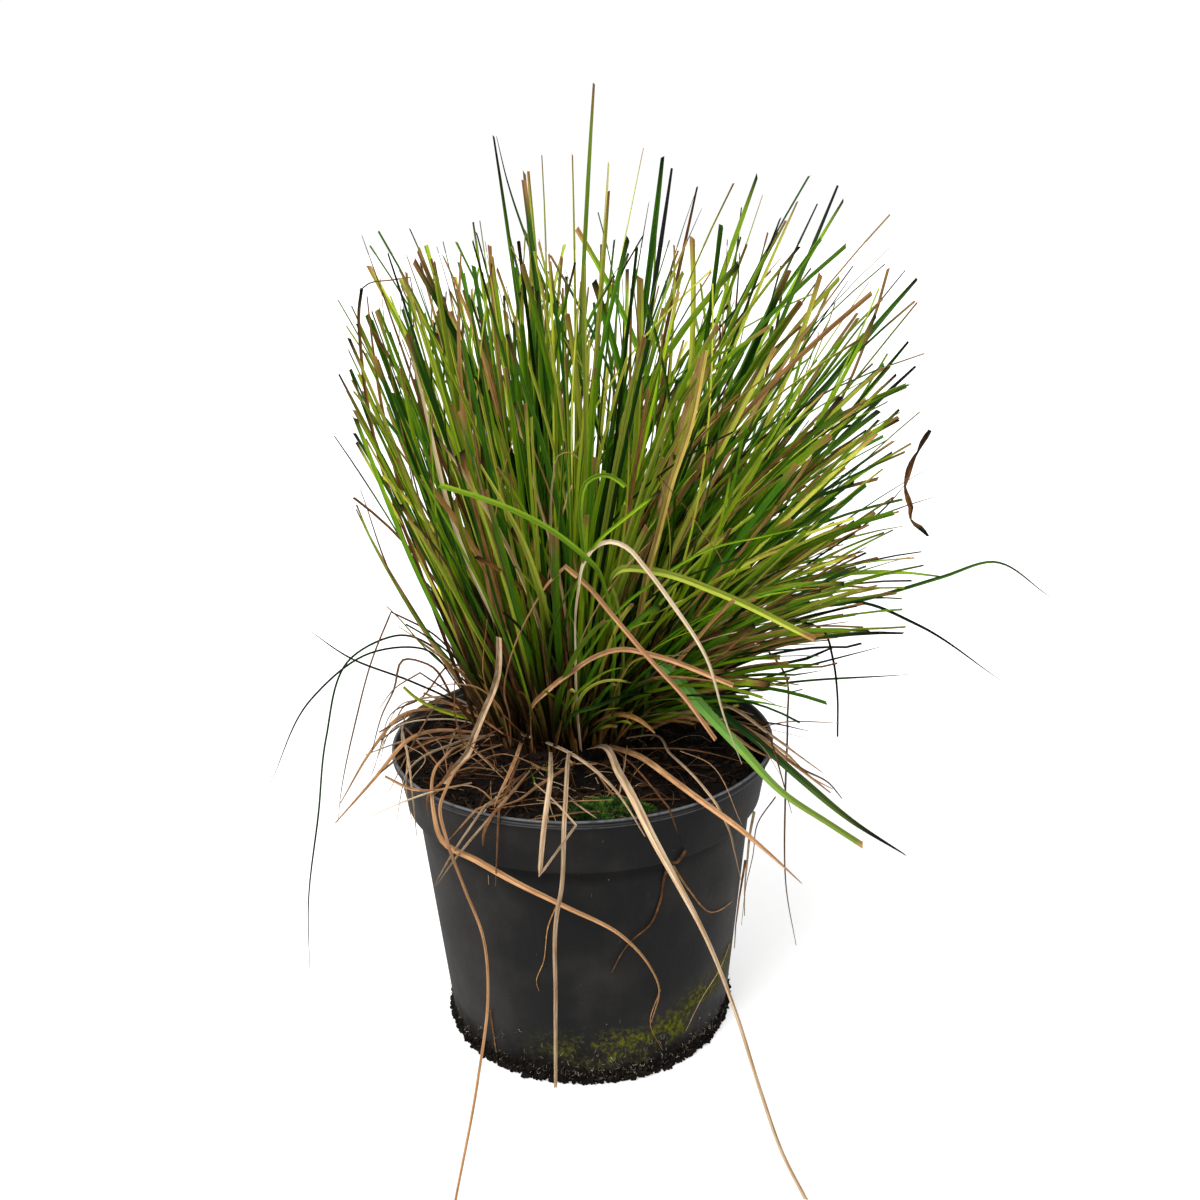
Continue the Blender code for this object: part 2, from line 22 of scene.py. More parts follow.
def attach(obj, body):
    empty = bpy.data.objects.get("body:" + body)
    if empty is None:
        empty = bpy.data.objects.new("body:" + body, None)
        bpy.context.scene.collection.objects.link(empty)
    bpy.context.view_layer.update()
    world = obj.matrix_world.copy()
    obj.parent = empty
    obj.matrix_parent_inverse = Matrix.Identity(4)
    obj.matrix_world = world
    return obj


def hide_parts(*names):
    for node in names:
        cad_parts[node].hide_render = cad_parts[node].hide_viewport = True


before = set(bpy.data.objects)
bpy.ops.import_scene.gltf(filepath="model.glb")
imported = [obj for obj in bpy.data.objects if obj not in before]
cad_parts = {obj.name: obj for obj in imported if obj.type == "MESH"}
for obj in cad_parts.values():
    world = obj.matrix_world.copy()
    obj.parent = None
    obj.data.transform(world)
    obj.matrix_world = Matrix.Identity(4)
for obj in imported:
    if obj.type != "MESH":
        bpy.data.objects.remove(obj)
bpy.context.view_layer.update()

LOG = logging.getLogger("grass_clump")
MM = 0.001
BODY = "root"
UP = np.array((0.0, 0.0, 1.0))
# Direction from which a single blade is seen flat
STRAY_FACING = np.array((0.0, -0.94, 0.34))
# Cosine of the turn from which a blade is folded rather than bent
CREASE = 0.1
# Steps in which a run along a blade is found by halving
HALVINGS = 30

Colour = tuple[float, float, float]
Points = np.ndarray


# Finishes


def paint(red: int, green: int, blue: int) -> Colour:
    """Linear colour of a paint chip that is read in 8-bit screen values."""
    shares = (red / 255, green / 255, blue / 255)
    return tuple(share / 12.92 if share <= 0.04045 else ((share + 0.055) / 1.055) ** 2.4 for share in shares)


class Wire:
    """A value, vector or colour on a node's socket, with arithmetic that adds Math nodes."""

    def __init__(self, bench: Bench, socket: NodeSocket) -> None:
        """Keep the socket with the bench that it is on."""
        self.bench = bench
        self.socket = socket

    def _maths(self, operation: str, *terms: Wire | float) -> Wire:
        """Math node on two or more terms."""
        return self.bench.node("ShaderNodeMath", {"operation": operation}, dict(enumerate(terms)))

    def __add__(self, other: Wire | float) -> Wire:
        """Sum."""
        return self._maths("ADD", self, other)

    __radd__ = __add__

    def __sub__(self, other: Wire | float) -> Wire:
        """Difference."""
        return self._maths("SUBTRACT", self, other)

    def __rsub__(self, other: float) -> Wire:
        """Difference from a number."""
        return self._maths("SUBTRACT", other, self)

    def __mul__(self, other: Wire | float) -> Wire:
        """Product."""
        return self._maths("MULTIPLY", self, other)

    __rmul__ = __mul__

    def __truediv__(self, other: Wire | float) -> Wire:
        """Quotient."""
        return self._maths("DIVIDE", self, other)

    def __abs__(self) -> Wire:
        """Size without its sign."""
        return self._maths("ABSOLUTE", self)

    def sine(self) -> Wire:
        """Sine of an angle in radians."""
        return self._maths("SINE", self)

    def kept(self) -> Wire:
        """The value held between 0 and 1."""
        return self.bench.node("ShaderNodeClamp", {}, {"Value": self})


class Bench:
    """Node tree of one material or sky, with the few tools that the finishes are made with."""

    MIXED_COLOUR = 2

    def __init__(self, owner: Material | World) -> None:
        """Open the node tree of a material or a sky."""
        owner.use_nodes = True
        self.owner, self.tree = owner, owner.node_tree

    @classmethod
    def for_material(cls, name: str) -> Bench:
        """Start a new material."""
        return cls(bpy.data.materials.new(name))

    def node(self, kind: str, settings: dict, inputs: dict, output: int | str = 0) -> Wire:
        """Add any node.

        Args:
            kind: the node's type name.
            settings: its settings, set first; "stops" are a ramp's (place, colour) pairs.
            inputs: values or wires by the socket's name, identifier or number.
            output: which output to take.

        Returns:
            The wire from that output.
        """
        made = self.tree.nodes.new(kind)
        for key, value in settings.items():
            if key == "stops":
                self._set_stops(made.color_ramp, value)
            else:
                setattr(made, key, value)
        for key, value in inputs.items():
            socket = made.inputs[key] if isinstance(key, int) else self._socket(made, key)
            self.join(socket, value)
        return Wire(self, made.outputs[output])

    @staticmethod
    def _socket(made: Node, key: str) -> NodeSocket:
        """Input with that identifier, or else that name."""
        return next((one for one in made.inputs if one.identifier == key), None) or made.inputs[key]

    @staticmethod
    def _set_stops(ramp: ColorRamp, stops: Sequence[tuple[float, Colour]]) -> None:
        """Place a ramp's stops.

        Args:
            ramp: the ramp.
            stops: its (place, colour) pairs.
        """
        while len(ramp.elements) < len(stops):
            ramp.elements.new(1.0)
        for element, (place, colour) in zip(ramp.elements, stops):
            element.position = place
            element.color = (*colour, 1.0)

    def join(self, socket: NodeSocket, value: Wire | float | Colour) -> None:
        """Link a wire to a socket, or set the socket's value.

        Args:
            socket: an input.
            value: a wire, number, vector or colour.
        """
        if isinstance(value, Wire):
            self.tree.links.new(value.socket, socket)
        elif isinstance(value, tuple) and socket.type == "RGBA":
            socket.default_value = (*value, 1.0)
        else:
            socket.default_value = value

    def place(self) -> Wire:
        """Point of the surface, in metres."""
        return self.node("ShaderNodeTexCoord", {}, {}, "Object")

    def stored(self, name: str) -> Wire:
        """Number that the mesh keeps at each point."""
        return self.node("ShaderNodeAttribute", {"attribute_name": name}, {}, "Fac")

    def split(self, vector: Wire) -> tuple[Wire, Wire, Wire]:
        """The three parts of a vector."""
        parts = self.node("ShaderNodeSeparateXYZ", {}, {"Vector": vector}).socket.node
        return tuple(Wire(self, output) for output in parts.outputs)

    def vector(self, x: Wire | float, y: Wire | float, z: Wire | float) -> Wire:
        """Vector of three values."""
        return self.node("ShaderNodeCombineXYZ", {}, {"X": x, "Y": y, "Z": z})

    def stretched(self, vector: Wire, scale: Colour) -> Wire:
        """Vector times a scale along each axis."""
        return self.node("ShaderNodeVectorMath", {"operation": "MULTIPLY"}, {0: vector, 1: scale})

    def clouds(self, vector: Wire, scale: float, detail: float = 3.0, rough: float = 0.55) -> Wire:
        """Soft noise around 0.5."""
        inputs = {"Vector": vector, "Scale": scale, "Detail": detail, "Roughness": rough}
        return self.node("ShaderNodeTexNoise", {}, inputs)

    def specks(self, vector: Wire, scale: float) -> Wire:
        """Distance to the nearest of scattered points, in cells."""
        return self.node("ShaderNodeTexVoronoi", {}, {"Vector": vector, "Scale": scale}, "Distance")

    def fade(self, value: Wire, start: float, end: float) -> Wire:
        """Smooth step along a value.

        Args:
            value: a wire.
            start: where the result is 0.
            end: where it is 1, above start or below it.

        Returns:
            The wire of the smooth step.
        """
        if start > end:
            return 1 - self.fade(value, end, start)
        inputs = {"Value": value, "From Min": start, "From Max": end}
        return self.node("ShaderNodeMapRange", {"interpolation_type": "SMOOTHSTEP"}, inputs)

    def ramp(self, value: Wire, stops: Sequence[tuple[float, Colour]]) -> Wire:
        """Colour that follows a value through its stops."""
        return self.node("ShaderNodeValToRGB", {"stops": stops}, {"Fac": value})

    def mix(self, share: Wire | float, first: Wire | Colour, second: Wire | Colour, blend: str = "MIX") -> Wire:
        """Mix of two colours by a share, or a blend of the second over the first."""
        inputs = {"Factor_Float": share, "A_Color": first, "B_Color": second}
        return self.node("ShaderNodeMix", {"data_type": "RGBA", "blend_type": blend}, inputs, self.MIXED_COLOUR)

    def shade(self, colour: Wire, amount: Wire) -> Wire:
        """Colour made lighter or darker by an amount around 1."""
        return self.node("ShaderNodeVectorMath", {"operation": "SCALE"}, {"Vector": colour, "Scale": amount})

    def finish(self, colour: Wire, roughness: Wire | float, relief: Wire | None, depth: float,
               gloss: float) -> Material:
        """Wire the shader and hand over the material.

        Args:
            colour: base colour.
            roughness: roughness, a number or a wire.
            relief: height of the fine relief, or None.
            depth: how deep that relief is, in metres.
            gloss: specular level.

        Returns:
            The finished material.
        """
        shader = self.tree.nodes["Principled BSDF"]
        self.join(shader.inputs["Base Color"], colour)
        self.join(shader.inputs["Roughness"], roughness)
        shader.inputs["Specular IOR Level"].default_value = gloss
        if relief is not None:
            bump = self.node("ShaderNodeBump", {}, {"Strength": 1.0, "Distance": depth, "Height": relief})
            self.join(shader.inputs["Normal"], bump)
        return self.owner


@dataclass(frozen=True)
class BladeFinish:
    """Surface of the grass blades, living and dead, coloured by what each blade stores on its points."""

    name: str
    living_gloss: float = 0.45
    dead_roughness: float = 0.7
    gloss: float = 0.2
    living: tuple = (
        (0.0, paint(14, 36, 4)), (0.22, paint(42, 90, 9)), (0.5, paint(102, 150, 14)),
        (0.76, paint(168, 194, 34)), (1.0, paint(220, 216, 84)))
    dead: tuple = (
        (0.0, paint(42, 26, 14)), (0.3, paint(132, 84, 42)), (0.65, paint(200, 150, 92)),
        (1.0, paint(240, 216, 172)))
    scorched: Colour = paint(166, 122, 72)
    inked: Colour = paint(14, 18, 10)
    base: Colour = paint(58, 40, 20)
    cool: Colour = paint(44, 112, 26)
    ripe: Colour = paint(94, 106, 26)
    ripened: float = 0.0
    # Painted light: one half of each blade is drawn lighter and the other darker, as the lit and shaded sides of its
    # V
    painted_half_shade: float = 0.5
    # Painted shade that darkens a blade towards its foot, where the clump shades it
    foot_painted_shade: float = 0.2
    foot_brown: float = 0.7
    brown_reach: float = 0.36
    # Share of the blade's length that the painted shade at the foot reaches
    painted_shade_span: float = 0.42
    vein_depth: float = 0.06

    def material(self) -> Material:
        """Build the node tree.

        Returns:
            The material.
        """
        bench = Bench.for_material(self.name)
        along, across, tint = bench.stored("along"), bench.stored("across"), bench.stored("tint")
        dry, scorch, ink = bench.stored("dry"), bench.stored("scorch"), bench.stored("ink")
        lengthways = bench.vector(across * 1.3, along * 9, tint * 71)
        streaks = bench.clouds(lengthways, 1.6, 4.0)
        blotches = bench.clouds(bench.vector(across * 0.4, along * 26, tint * 37), 1.0, 3.0)
        veins = (across * 19 + tint * 40).sine()
        # Lighter and yellower towards the tip: partly the blades' own colour, partly painted light on the lit top of
        # the clump
        living = bench.ramp((tint + (streaks - 0.5) * 0.24 + (along - 0.5) * 0.26).kept(), self.living)
        living = bench.mix(((tint * 233).sine() * 0.5).kept(), living, self.cool)
        living = bench.mix(bench.fade(along, 0.5, 0.9) * self.ripened, living, self.ripe)
        living = bench.mix(bench.fade(along, self.brown_reach, 0.05) * self.foot_brown, living, self.base)
        dead = bench.ramp((tint + (streaks - 0.5) * 0.5 + (blotches - 0.5) * 0.3).kept(), self.dead)
        colour = bench.mix(dry, living, dead)
        colour = bench.mix((scorch * (0.55 + blotches)).kept(), colour, self.scorched)
        colour = bench.mix(ink, colour, self.inked)
        midrib = bench.fade(abs(across), 0.16, 0.02)
        # Painted light and shade across the V: the lit half lighter, the shaded half darker
        painted_lit_shaded_halves = bench.fade(across, -0.12, 0.12) - 0.5
        fibres = self.vein_depth + dry * 0.2
        light = 1 + veins * fibres + (streaks - 0.5) * (0.5 + dry * 0.5) - midrib * 0.16 + painted_lit_shaded_halves * self.painted_half_shade
        light = light + (tint * 517).sine() * 0.2
        # Painted shade: darker towards the foot, where the blades above shade it
        colour = bench.shade(colour, light * (1 - bench.fade(along, self.painted_shade_span, 0.08) * self.foot_painted_shade))
        roughness = self.living_gloss + dry * (self.dead_roughness - self.living_gloss) + (blotches - 0.5) * 0.2
        relief = veins * 0.5 + streaks - midrib * 0.6
        return bench.finish(colour, roughness, relief, 0.12 * MM, self.gloss)


@dataclass(frozen=True)
class PotFinish:
    """Charcoal moulded plastic with a dusty film, soil splashes, algae low down and small scuffs, painted reflections
    on its left and right sides, a painted shadow under the collar, and two rim lines of rubbing wear and painted
    highlight.
    """

    name: str = "pot_plastic"
    charcoal: Colour = paint(31, 31, 31)
    # Colour of the dusty film, and of the painted reflections on the left and right sides
    dust_and_sheen: Colour = paint(84, 78, 73)
    splash: Colour = paint(18, 15, 10)
    algae: Colour = paint(112, 112, 12)
    algae_dark: Colour = paint(52, 56, 12)
    fleck: Colour = paint(176, 176, 168)
    # Pale colour of the scuffs, which are wear, and of the rim lines, which are wear and painted highlight
    wear_and_highlight: Colour = paint(118, 122, 126)
    # Painted shadow under the collar: the height of its middle and its half width, in millimetres
    collar_shadow_height: float = 118.5
    collar_shadow_reach: float = 6.0
    # Two thin lines along the rim, by height and half width in millimetres: rubbing wear and painted highlight
    rim_wear_highlight_lines: tuple = ((151.7, 0.7), (148.7, 0.5))

    def material(self) -> Material:
        """Build the node tree.

        Returns:
            The material.
        """
        bench = Bench.for_material(self.name)
        place = bench.place()
        x, y, z = bench.split(place)
        height = z / MM
        front = bench.fade(y / MM, 20, -40)
        big = bench.clouds(place, 26, 4.0)
        patches = bench.clouds(place, 70, 6.0, 0.65)
        grit = bench.clouds(place, 420, 5.0, 0.7)
        runs = bench.clouds(bench.stretched(place, (260.0, 260.0, 16.0)), 1.0, 3.0)
        film = (bench.fade(big, 0.4, 0.8) * 0.3 + (runs - 0.5).kept() * 0.16).kept()
        colour = bench.mix(film, self.charcoal, self.dust_and_sheen)
        # Painted reflection: the left and right sides are lighter, in the dusty film's colour and streaked like it
        left = bench.fade(x / MM, -38, -88)
        colour = bench.mix(left * (0.2 + 0.2 * runs), colour, self.dust_and_sheen)
        right = bench.fade(x / MM, 50, 90)
        colour = bench.mix(right * (0.14 + 0.2 * runs), colour, self.dust_and_sheen)
        # Painted shadow: a dark band on the wall just under the collar, which shades it
        painted_collar_shadow = bench.fade(abs(height - self.collar_shadow_height), self.collar_shadow_reach, 0)
        colour = bench.shade(colour, 1 - painted_collar_shadow * 0.45)
        ragged = height + (patches - 0.5) * 40 + (big - 0.5) * 24
        splashed = bench.fade(ragged, 24, 2)
        colour = bench.mix(splashed * 0.92, colour, self.splash)
        rise = height - bench.fade(x / MM, 20, 76) * 18 - 21
        band = bench.fade(abs(rise + (patches - 0.5) * 30), 14, 2)
        side = bench.fade(x / MM, -40, 20) * front
        growth = (band * side * bench.fade(patches + (grit - 0.5) * 0.7, 0.4, 0.6)).kept()
        green = bench.mix(bench.fade(grit, 0.4, 0.6), self.algae_dark, self.algae)
        colour = bench.mix(growth * 0.92, colour, green)
        low = bench.fade(height, 60, 8)
        flecks = bench.fade(bench.specks(place, 330), 0.15, 0.09) * bench.fade(bench.clouds(place, 90), 0.66, 0.7)
        colour = bench.mix((flecks * (0.3 + low)).kept(), colour, self.fleck)
        scuffed = bench.stretched(place, (900.0, 900.0, 130.0))
        scuffs = bench.fade(bench.clouds(scuffed, 1.0, 1.0), 0.78, 0.82)
        colour = bench.mix(scuffs * 0.3, colour, self.wear_and_highlight)
        # Rim lines: partly rubbing wear, partly painted highlight along the rim's edges
        for line, half in self.rim_wear_highlight_lines:
            rubbing_and_highlight = bench.fade(abs(height - line), half, 0.1) * (0.25 + 0.45 * bench.fade(runs, 0.3, 0.6))
            colour = bench.mix(rubbing_and_highlight, colour, self.wear_and_highlight)
        roughness = 0.44 + splashed * 0.4 + growth * 0.4 + (patches - 0.5) * 0.25
        relief = grit * (0.35 + splashed + growth) + scuffs * 0.3
        return bench.finish(colour, roughness.kept(), relief, 0.5 * MM, 0.16)


@dataclass(frozen=True)
class CompostFinish:
    """Dark compost, and the crumbs, bark and grit that it is made of."""

    name: str
    wet: Colour = paint(6, 4, 3)
    middle: Colour = paint(20, 14, 10)
    bark: Colour = paint(52, 36, 24)
    grit: Colour = paint(120, 108, 92)

    def material(self) -> Material:
        """Build the node tree.

        Returns:
            The material.
        """
        bench = Bench.for_material(self.name)
        place = bench.place()
        tint = bench.stored("tint")
        lumps = bench.clouds(place, 160, 5.0, 0.7)
        grains = bench.clouds(place, 900, 4.0, 0.7)
        stops = ((0.0, self.wet), (0.55, self.middle), (0.86, self.bark), (0.985, self.bark), (1.0, self.grit))
        colour = bench.ramp((tint * 0.72 + (lumps - 0.5) * 0.5 + (grains - 0.5) * 0.5 + 0.12).kept(), stops)
        roughness = (0.86 + (grains - 0.5) * 0.3).kept()
        return bench.finish(colour, roughness, lumps + grains * 0.6, 1.0 * MM, 0.12)


@dataclass(frozen=True)
class MossFinish:
    """Moss leaves: dark at the foot, bright at the tips."""

    name: str = "moss_fibre"
    foot: Colour = paint(5, 12, 3)
    tip: Colour = paint(42, 90, 18)
    pale: Colour = paint(136, 176, 66)

    def material(self) -> Material:
        """Build the node tree.

        Returns:
            The material.
        """
        bench = Bench.for_material(self.name)
        along, tint = bench.stored("along"), bench.stored("tint")
        patches = bench.clouds(bench.place(), 300, 4.0)
        colour = bench.ramp((along * 0.4 + (patches - 0.5) * 2.8 + (tint - 0.5) * 0.5 + 0.1).kept(),
                            ((0.0, self.foot), (0.55, self.tip), (1.0, self.pale)))
        return bench.finish(colour, 0.75 + (patches - 0.5) * 0.2, patches, 0.4 * MM, 0.25)


@dataclass(frozen=True)
class FloorFinish:
    """Pale matt floor with a very faint mottle."""

    name: str = "pale_floor"
    pale: Colour = (0.7, 0.7, 0.7)
    shade: Colour = (0.68, 0.68, 0.68)
    glow: float = 0.62

    def material(self) -> Material:
        """Build the node tree.

        Returns:
            The material.
        """
        bench = Bench.for_material(self.name)
        mottle = bench.clouds(bench.place(), 9, 3.0)
        colour = bench.mix(mottle, self.pale, self.shade)
        floor = bench.finish(colour, 0.9, None, 0.0, 0.1)
        shader = bench.tree.nodes["Principled BSDF"]
        bench.join(shader.inputs["Emission Color"], colour)
        shader.inputs["Emission Strength"].default_value = self.glow
        return floor


# Mesh makers


class Stock:
    """Closed bodies gathered into one mesh, with the numbers that its finish reads at each point."""

    VALUES = ("along", "across", "tint", "dry", "scorch", "ink")

    def __init__(self) -> None:
        """Start empty."""
        self.points: list[Points] = []
        self.faces: list[tuple[int, ...]] = []
        self.values: dict[str, list[Points]] = {name: [] for name in self.VALUES}
        self.count = 0

    @classmethod
    def of(cls, bodies: Iterable[Blade | Thread]) -> Stock:
        """Gather blades or threads.

        Args:
            bodies: the blades or threads, in order.

        Returns:
            The stock that holds them.
        """
        stock = cls()
        for body in bodies:
            body.add_to(stock)
        return stock

    def add(self, points: Points, faces: Iterable[tuple[int, ...]], values: dict[str, Points | float]) -> None:
        """Add one body.

        Args:
            points: its points, one a row.
            faces: its faces as rows of point numbers.
            values: what its points store, each a number or one number a point.
        """
        self.points.append(points)
        self.faces.extend(tuple(corner + self.count for corner in face) for face in faces)
        for name in self.VALUES:
            self.values[name].append(np.broadcast_to(values.get(name, 0.0), len(points)))
        self.count += len(points)

    def add_rings(self, rings: Points, caps: Sequence[tuple[int, ...]], values: dict[str, Points | float]) -> None:
        """Add a body lofted through rings of equal size, closed by caps at both ends.

        Args:
            rings: points by ring.
            caps: faces that close a ring, as point numbers in it.
            values: what the points store, a number or one a point.
        """
        steps, size = rings.shape[:2]
        faces = []
        for step in range(steps - 1):
            low, high = step * size, (step + 1) * size
            for side in range(size):
                after = (side + 1) % size
                faces.append((low + side, low + after, high + after, high + side))
        last = (steps - 1) * size
        faces.extend(tuple(reversed(cap)) for cap in caps)
        faces.extend(tuple(last + corner for corner in cap) for cap in caps)
        flat = {name: value.ravel() if isinstance(value, np.ndarray) else value for name, value in values.items()}
        self.add(rings.reshape(-1, 3), faces, flat)

    def piece(self, name: str, finish: Material, sharp: float = 32.0) -> Object:
        """Make the object.

        Args:
            name: the piece's name.
            finish: its material.
            sharp: angle in degrees from which an edge stays sharp.

        Returns:
            The new object, linked to the scene.
        """
        mesh = bpy.data.meshes.new(name)
        mesh.from_pydata(np.concatenate(self.points).tolist(), [], self.faces)
        for value_name, parts in self.values.items():
            stored = mesh.attributes.new(value_name, "FLOAT", "POINT")
            stored.data.foreach_set("value", np.concatenate(parts).astype(np.float32))
        shape = bmesh.new()
        shape.from_mesh(mesh)
        bmesh.ops.recalc_face_normals(shape, faces=shape.faces)
        shape.to_mesh(mesh)
        shape.free()
        return link_piece(name, mesh, finish, sharp)


def link_piece(name: str, mesh: Mesh, finish: Material, sharp: float) -> Object:
    """Put a mesh into the scene as a smooth-shaded piece.

    Args:
        name: the piece's name.
        mesh: its mesh.
        finish: its material.
        sharp: angle in degrees from which an edge stays sharp.

    Returns:
        The new object.
    """
    mesh.materials.clear()
    mesh.materials.append(finish)
    mesh.shade_smooth()
    mesh.set_sharp_from_angle(angle=radians(sharp))
    piece = bpy.data.objects.new(name, mesh)
    bpy.context.collection.objects.link(piece)
    return piece


def settle(piece: Object, slot: str, *nodes: str) -> None:
    """Let a piece ride on the plant's one body, hide the CAD nodes that it stands for, and log it.

    Args:
        piece: the finished piece.
        slot: the record's material slot; not used.
        nodes: CAD nodes that it stands for.
    """
    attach(piece, BODY)
    if nodes:
        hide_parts(*nodes)
    LOG.info("%s: %d faces", piece.name, len(piece.data.polygons))


def unit(vectors: Points) -> Points:
    """Vectors brought to length 1, one a row or alone."""
    return vectors / np.maximum(np.linalg.norm(vectors, axis=-1, keepdims=True), 1e-12)


def smooth_step(value: Points, start: float, end: float) -> Points:
    """0 before start, 1 after end, and smooth between them."""
    share = np.clip((value - start) / (end - start), 0, 1)
    return share * share * (3 - 2 * share)


def heading_of(bearing: float) -> Points:
    """Unit direction on a bearing, seen from above."""
    return np.array((cos(bearing), sin(bearing)))


def in_metres(route: Iterable[Sequence[float]]) -> list[tuple[float, ...]]:
    """Points that are given in millimetres."""
    return [tuple(value * MM for value in point) for point in route]


def disc_faces(rings: int, spokes: int) -> list[tuple[int, ...]]:
    """Faces of a disc.

    Args:
        rings: its rings of points, which follow its middle point.
        spokes: points in a ring.

    Returns:
        The faces as rows of point numbers.
    """
    faces = []
    for spoke in range(spokes):
        after = (spoke + 1) % spokes
        faces.append((0, 1 + spoke, 1 + after))
        for ring in range(rings - 1):
            low, high = 1 + ring * spokes, 1 + (ring + 1) * spokes
            faces.append((low + spoke, high + spoke, high + after, low + after))
    return faces


class Tip(Enum):
    """How a blade ends."""

    CUT = "cut"
    GROWN = "grown"
    NEEDLE = "needle"
    FRAYED = "frayed"
    WITHERED = "withered"
    TAPERED = "tapered"
    TRAILING = "trailing"


@dataclass(frozen=True)
class Tone:
    """Colouring of one blade: its tint, how dry it is, and its scorched and blackened ends in metres."""

    tint: float
    dry: float = 0.0
    scorch: float = 0.0
    ink: float = 0.0


class Look(Enum):
    """Colourings that the photograph shows on single blades."""

    GREEN = Tone(0.5, 0.0, 0.0, 0.006)
    FRESH = Tone(0.68, 0.0, 0.004)
    LEAF = Tone(0.694, 0.0, 0.002)
    DEEP = Tone(0.24, 0.0, 0.0, 0.03)
    WIDE_DEEP = Tone(0.16, 0.0, 0.0, 0.012)
    OLIVE = Tone(0.78, 0.1, 0.01)
    YELLOW = Tone(0.92, 0.0, 0.006)
    LIME = Tone(0.56, 0.26, 0.006)
    LEMON = Tone(0.9)
    SAGE = Tone(0.576)
    PALE = Tone(1.0, 0.35, 0.0)
    BLACK = Tone(0.12, 0.0, 0.0, 0.09)
    BROWN = Tone(0.22, 0.95, 0.0, 0.008)
    TAN = Tone(0.56, 1.0, 0.0)
    STRAW = Tone(0.8, 1.0, 0.0)
    BONE = Tone(0.902, 1.0, 0.0)
    TAN_BLACK = Tone(0.5, 0.9, 0.0, 0.014)
    STEM = Tone(0.62, 0.7, 0.0)
    RUSSET = Tone(0.32, 1.0, 0.0)


@dataclass
class Blade:
    """One strap blade: a shallow V in section, thin, with its own tip and colouring."""

    path: Points
    spans: Points
    backs: Points
    width: float
    tone: Tone
    tip: Tip = Tip.CUT
    fold: float = 0.24
    thickness: float = 0.3 * MM
    foot_share: float = 0.6
    skew: float = 0.0

    CAPS = ((0, 1, 4, 5), (1, 2, 3, 4))
    ACROSS = np.array((-1.0, 0.0, 1.0, 1.0, 0.0, -1.0))

    def widths(self, share: Points) -> Points:
        """Half width along the blade.

        Args:
            share: 0 at the foot to 1 at the tip.

        Returns:
            Half of the width at each share.
        """
        rise = self.foot_share + (1 - self.foot_share) * smooth_step(share, 0.0, 0.22)
        if self.tip is Tip.WITHERED:
            rise = 0.5 + 0.5 * smooth_step(share, 0.3, 0.46)
        if self.tip is Tip.GROWN:
            taper = (1 - 0.2 * share) * (1 - 0.5 * np.clip((share - 0.84) / 0.16, 0, 1) ** 1.3)
        elif self.tip is Tip.NEEDLE:
            taper = (1 - 0.2 * share) * (1 - 0.85 * np.clip((share - 0.7) / 0.3, 0, 1) ** 1.3)
        elif self.tip is Tip.TAPERED:
            taper = 1 - 0.6 * smooth_step(share, 0.25, 0.95)
        elif self.tip is Tip.TRAILING:
            taper = 1 - 0.55 * smooth_step(share, 0.3, 0.62)
        elif self.tip is Tip.WITHERED:
            taper = 1 - 0.85 * np.clip((share - 0.5) / 0.5, 0, 1)
        elif self.tip is Tip.FRAYED:
            taper = 1 - 0.75 * np.clip((share - 0.55) / 0.45, 0, 1) ** 1.5
        else:
            taper = 1 - 0.2 * share ** 2
        return self.width / 2 * rise * taper

    def add_to(self, stock: Stock) -> None:
        """Loft the blade into a stock of meshes.

        Args:
            stock: the stock that it joins.
        """
        steps = len(self.path)
        legs = np.linalg.norm(np.diff(self.path, axis=0), axis=1)
        run = np.concatenate(([0.0], np.cumsum(legs)))
        share = run / run[-1]
        half = self.widths(share)[:, None]
        spans, backs = self.spans, self.backs
        keel = half * 2 * self.fold
        thick = self.thickness * (1 - 0.5 * share[:, None])
        rings = np.stack((
            self.path - spans * half,
            self.path + backs * keel,
            self.path + spans * half,
            self.path + spans * half * 0.95 - backs * thick,
            self.path + backs * (keel - thick),
            self.path - spans * half * 0.95 - backs * thick), axis=1)
        heading = unit(self.path[-1] - self.path[-2])
        rings[-1] += heading[None, :] * (self.ACROSS * self.skew * self.width)[:, None]
        left = run[-1] - run
        tone = self.tone
        scorch = 1 - smooth_step(left, tone.scorch * 0.5, tone.scorch * 1.3) if tone.scorch else np.zeros(steps)
        ink = 1 - smooth_step(left, tone.ink * 0.4, tone.ink * 1.5) if tone.ink else np.zeros(steps)
        column = np.ones((1, len(self.ACROSS)))
        stock.add_rings(rings, self.CAPS, {
            "along": share[:, None] * column,
            "across": np.ones((steps, 1)) * self.ACROSS,
            "tint": tone.tint,
            "dry": tone.dry,
            "scorch": scorch[:, None] * column,
            "ink": ink[:, None] * column,
        })


@dataclass
class Thread:
    """A root, hair or moss leaf: a thin three-sided body along a path."""

    path: Points
    radius: float
    tone: Tone
    end_share: float = 0.4

    CAPS = ((0, 1, 2),)

    def add_to(self, stock: Stock) -> None:
        """Loft the thread into a stock of meshes.

        Args:
            stock: the stock that it joins.
        """
        headings = unit(np.gradient(self.path, axis=0))
        side = unit(np.cross(headings, UP) + np.array((1e-4, 0, 0)))
        other = np.cross(side, headings)
        share = np.linspace(0, 1, len(self.path))[:, None]
        radius = self.radius * (1 - (1 - self.end_share) * share)
        turns = [tau * corner / 3 for corner in range(3)]
        rings = np.stack([self.path + (side * cos(a) + other * sin(a)) * radius for a in turns], axis=1)
        stock.add_rings(rings, self.CAPS, {
            "along": share * np.ones((1, 3)), "tint": self.tone.tint, "dry": self.tone.dry})


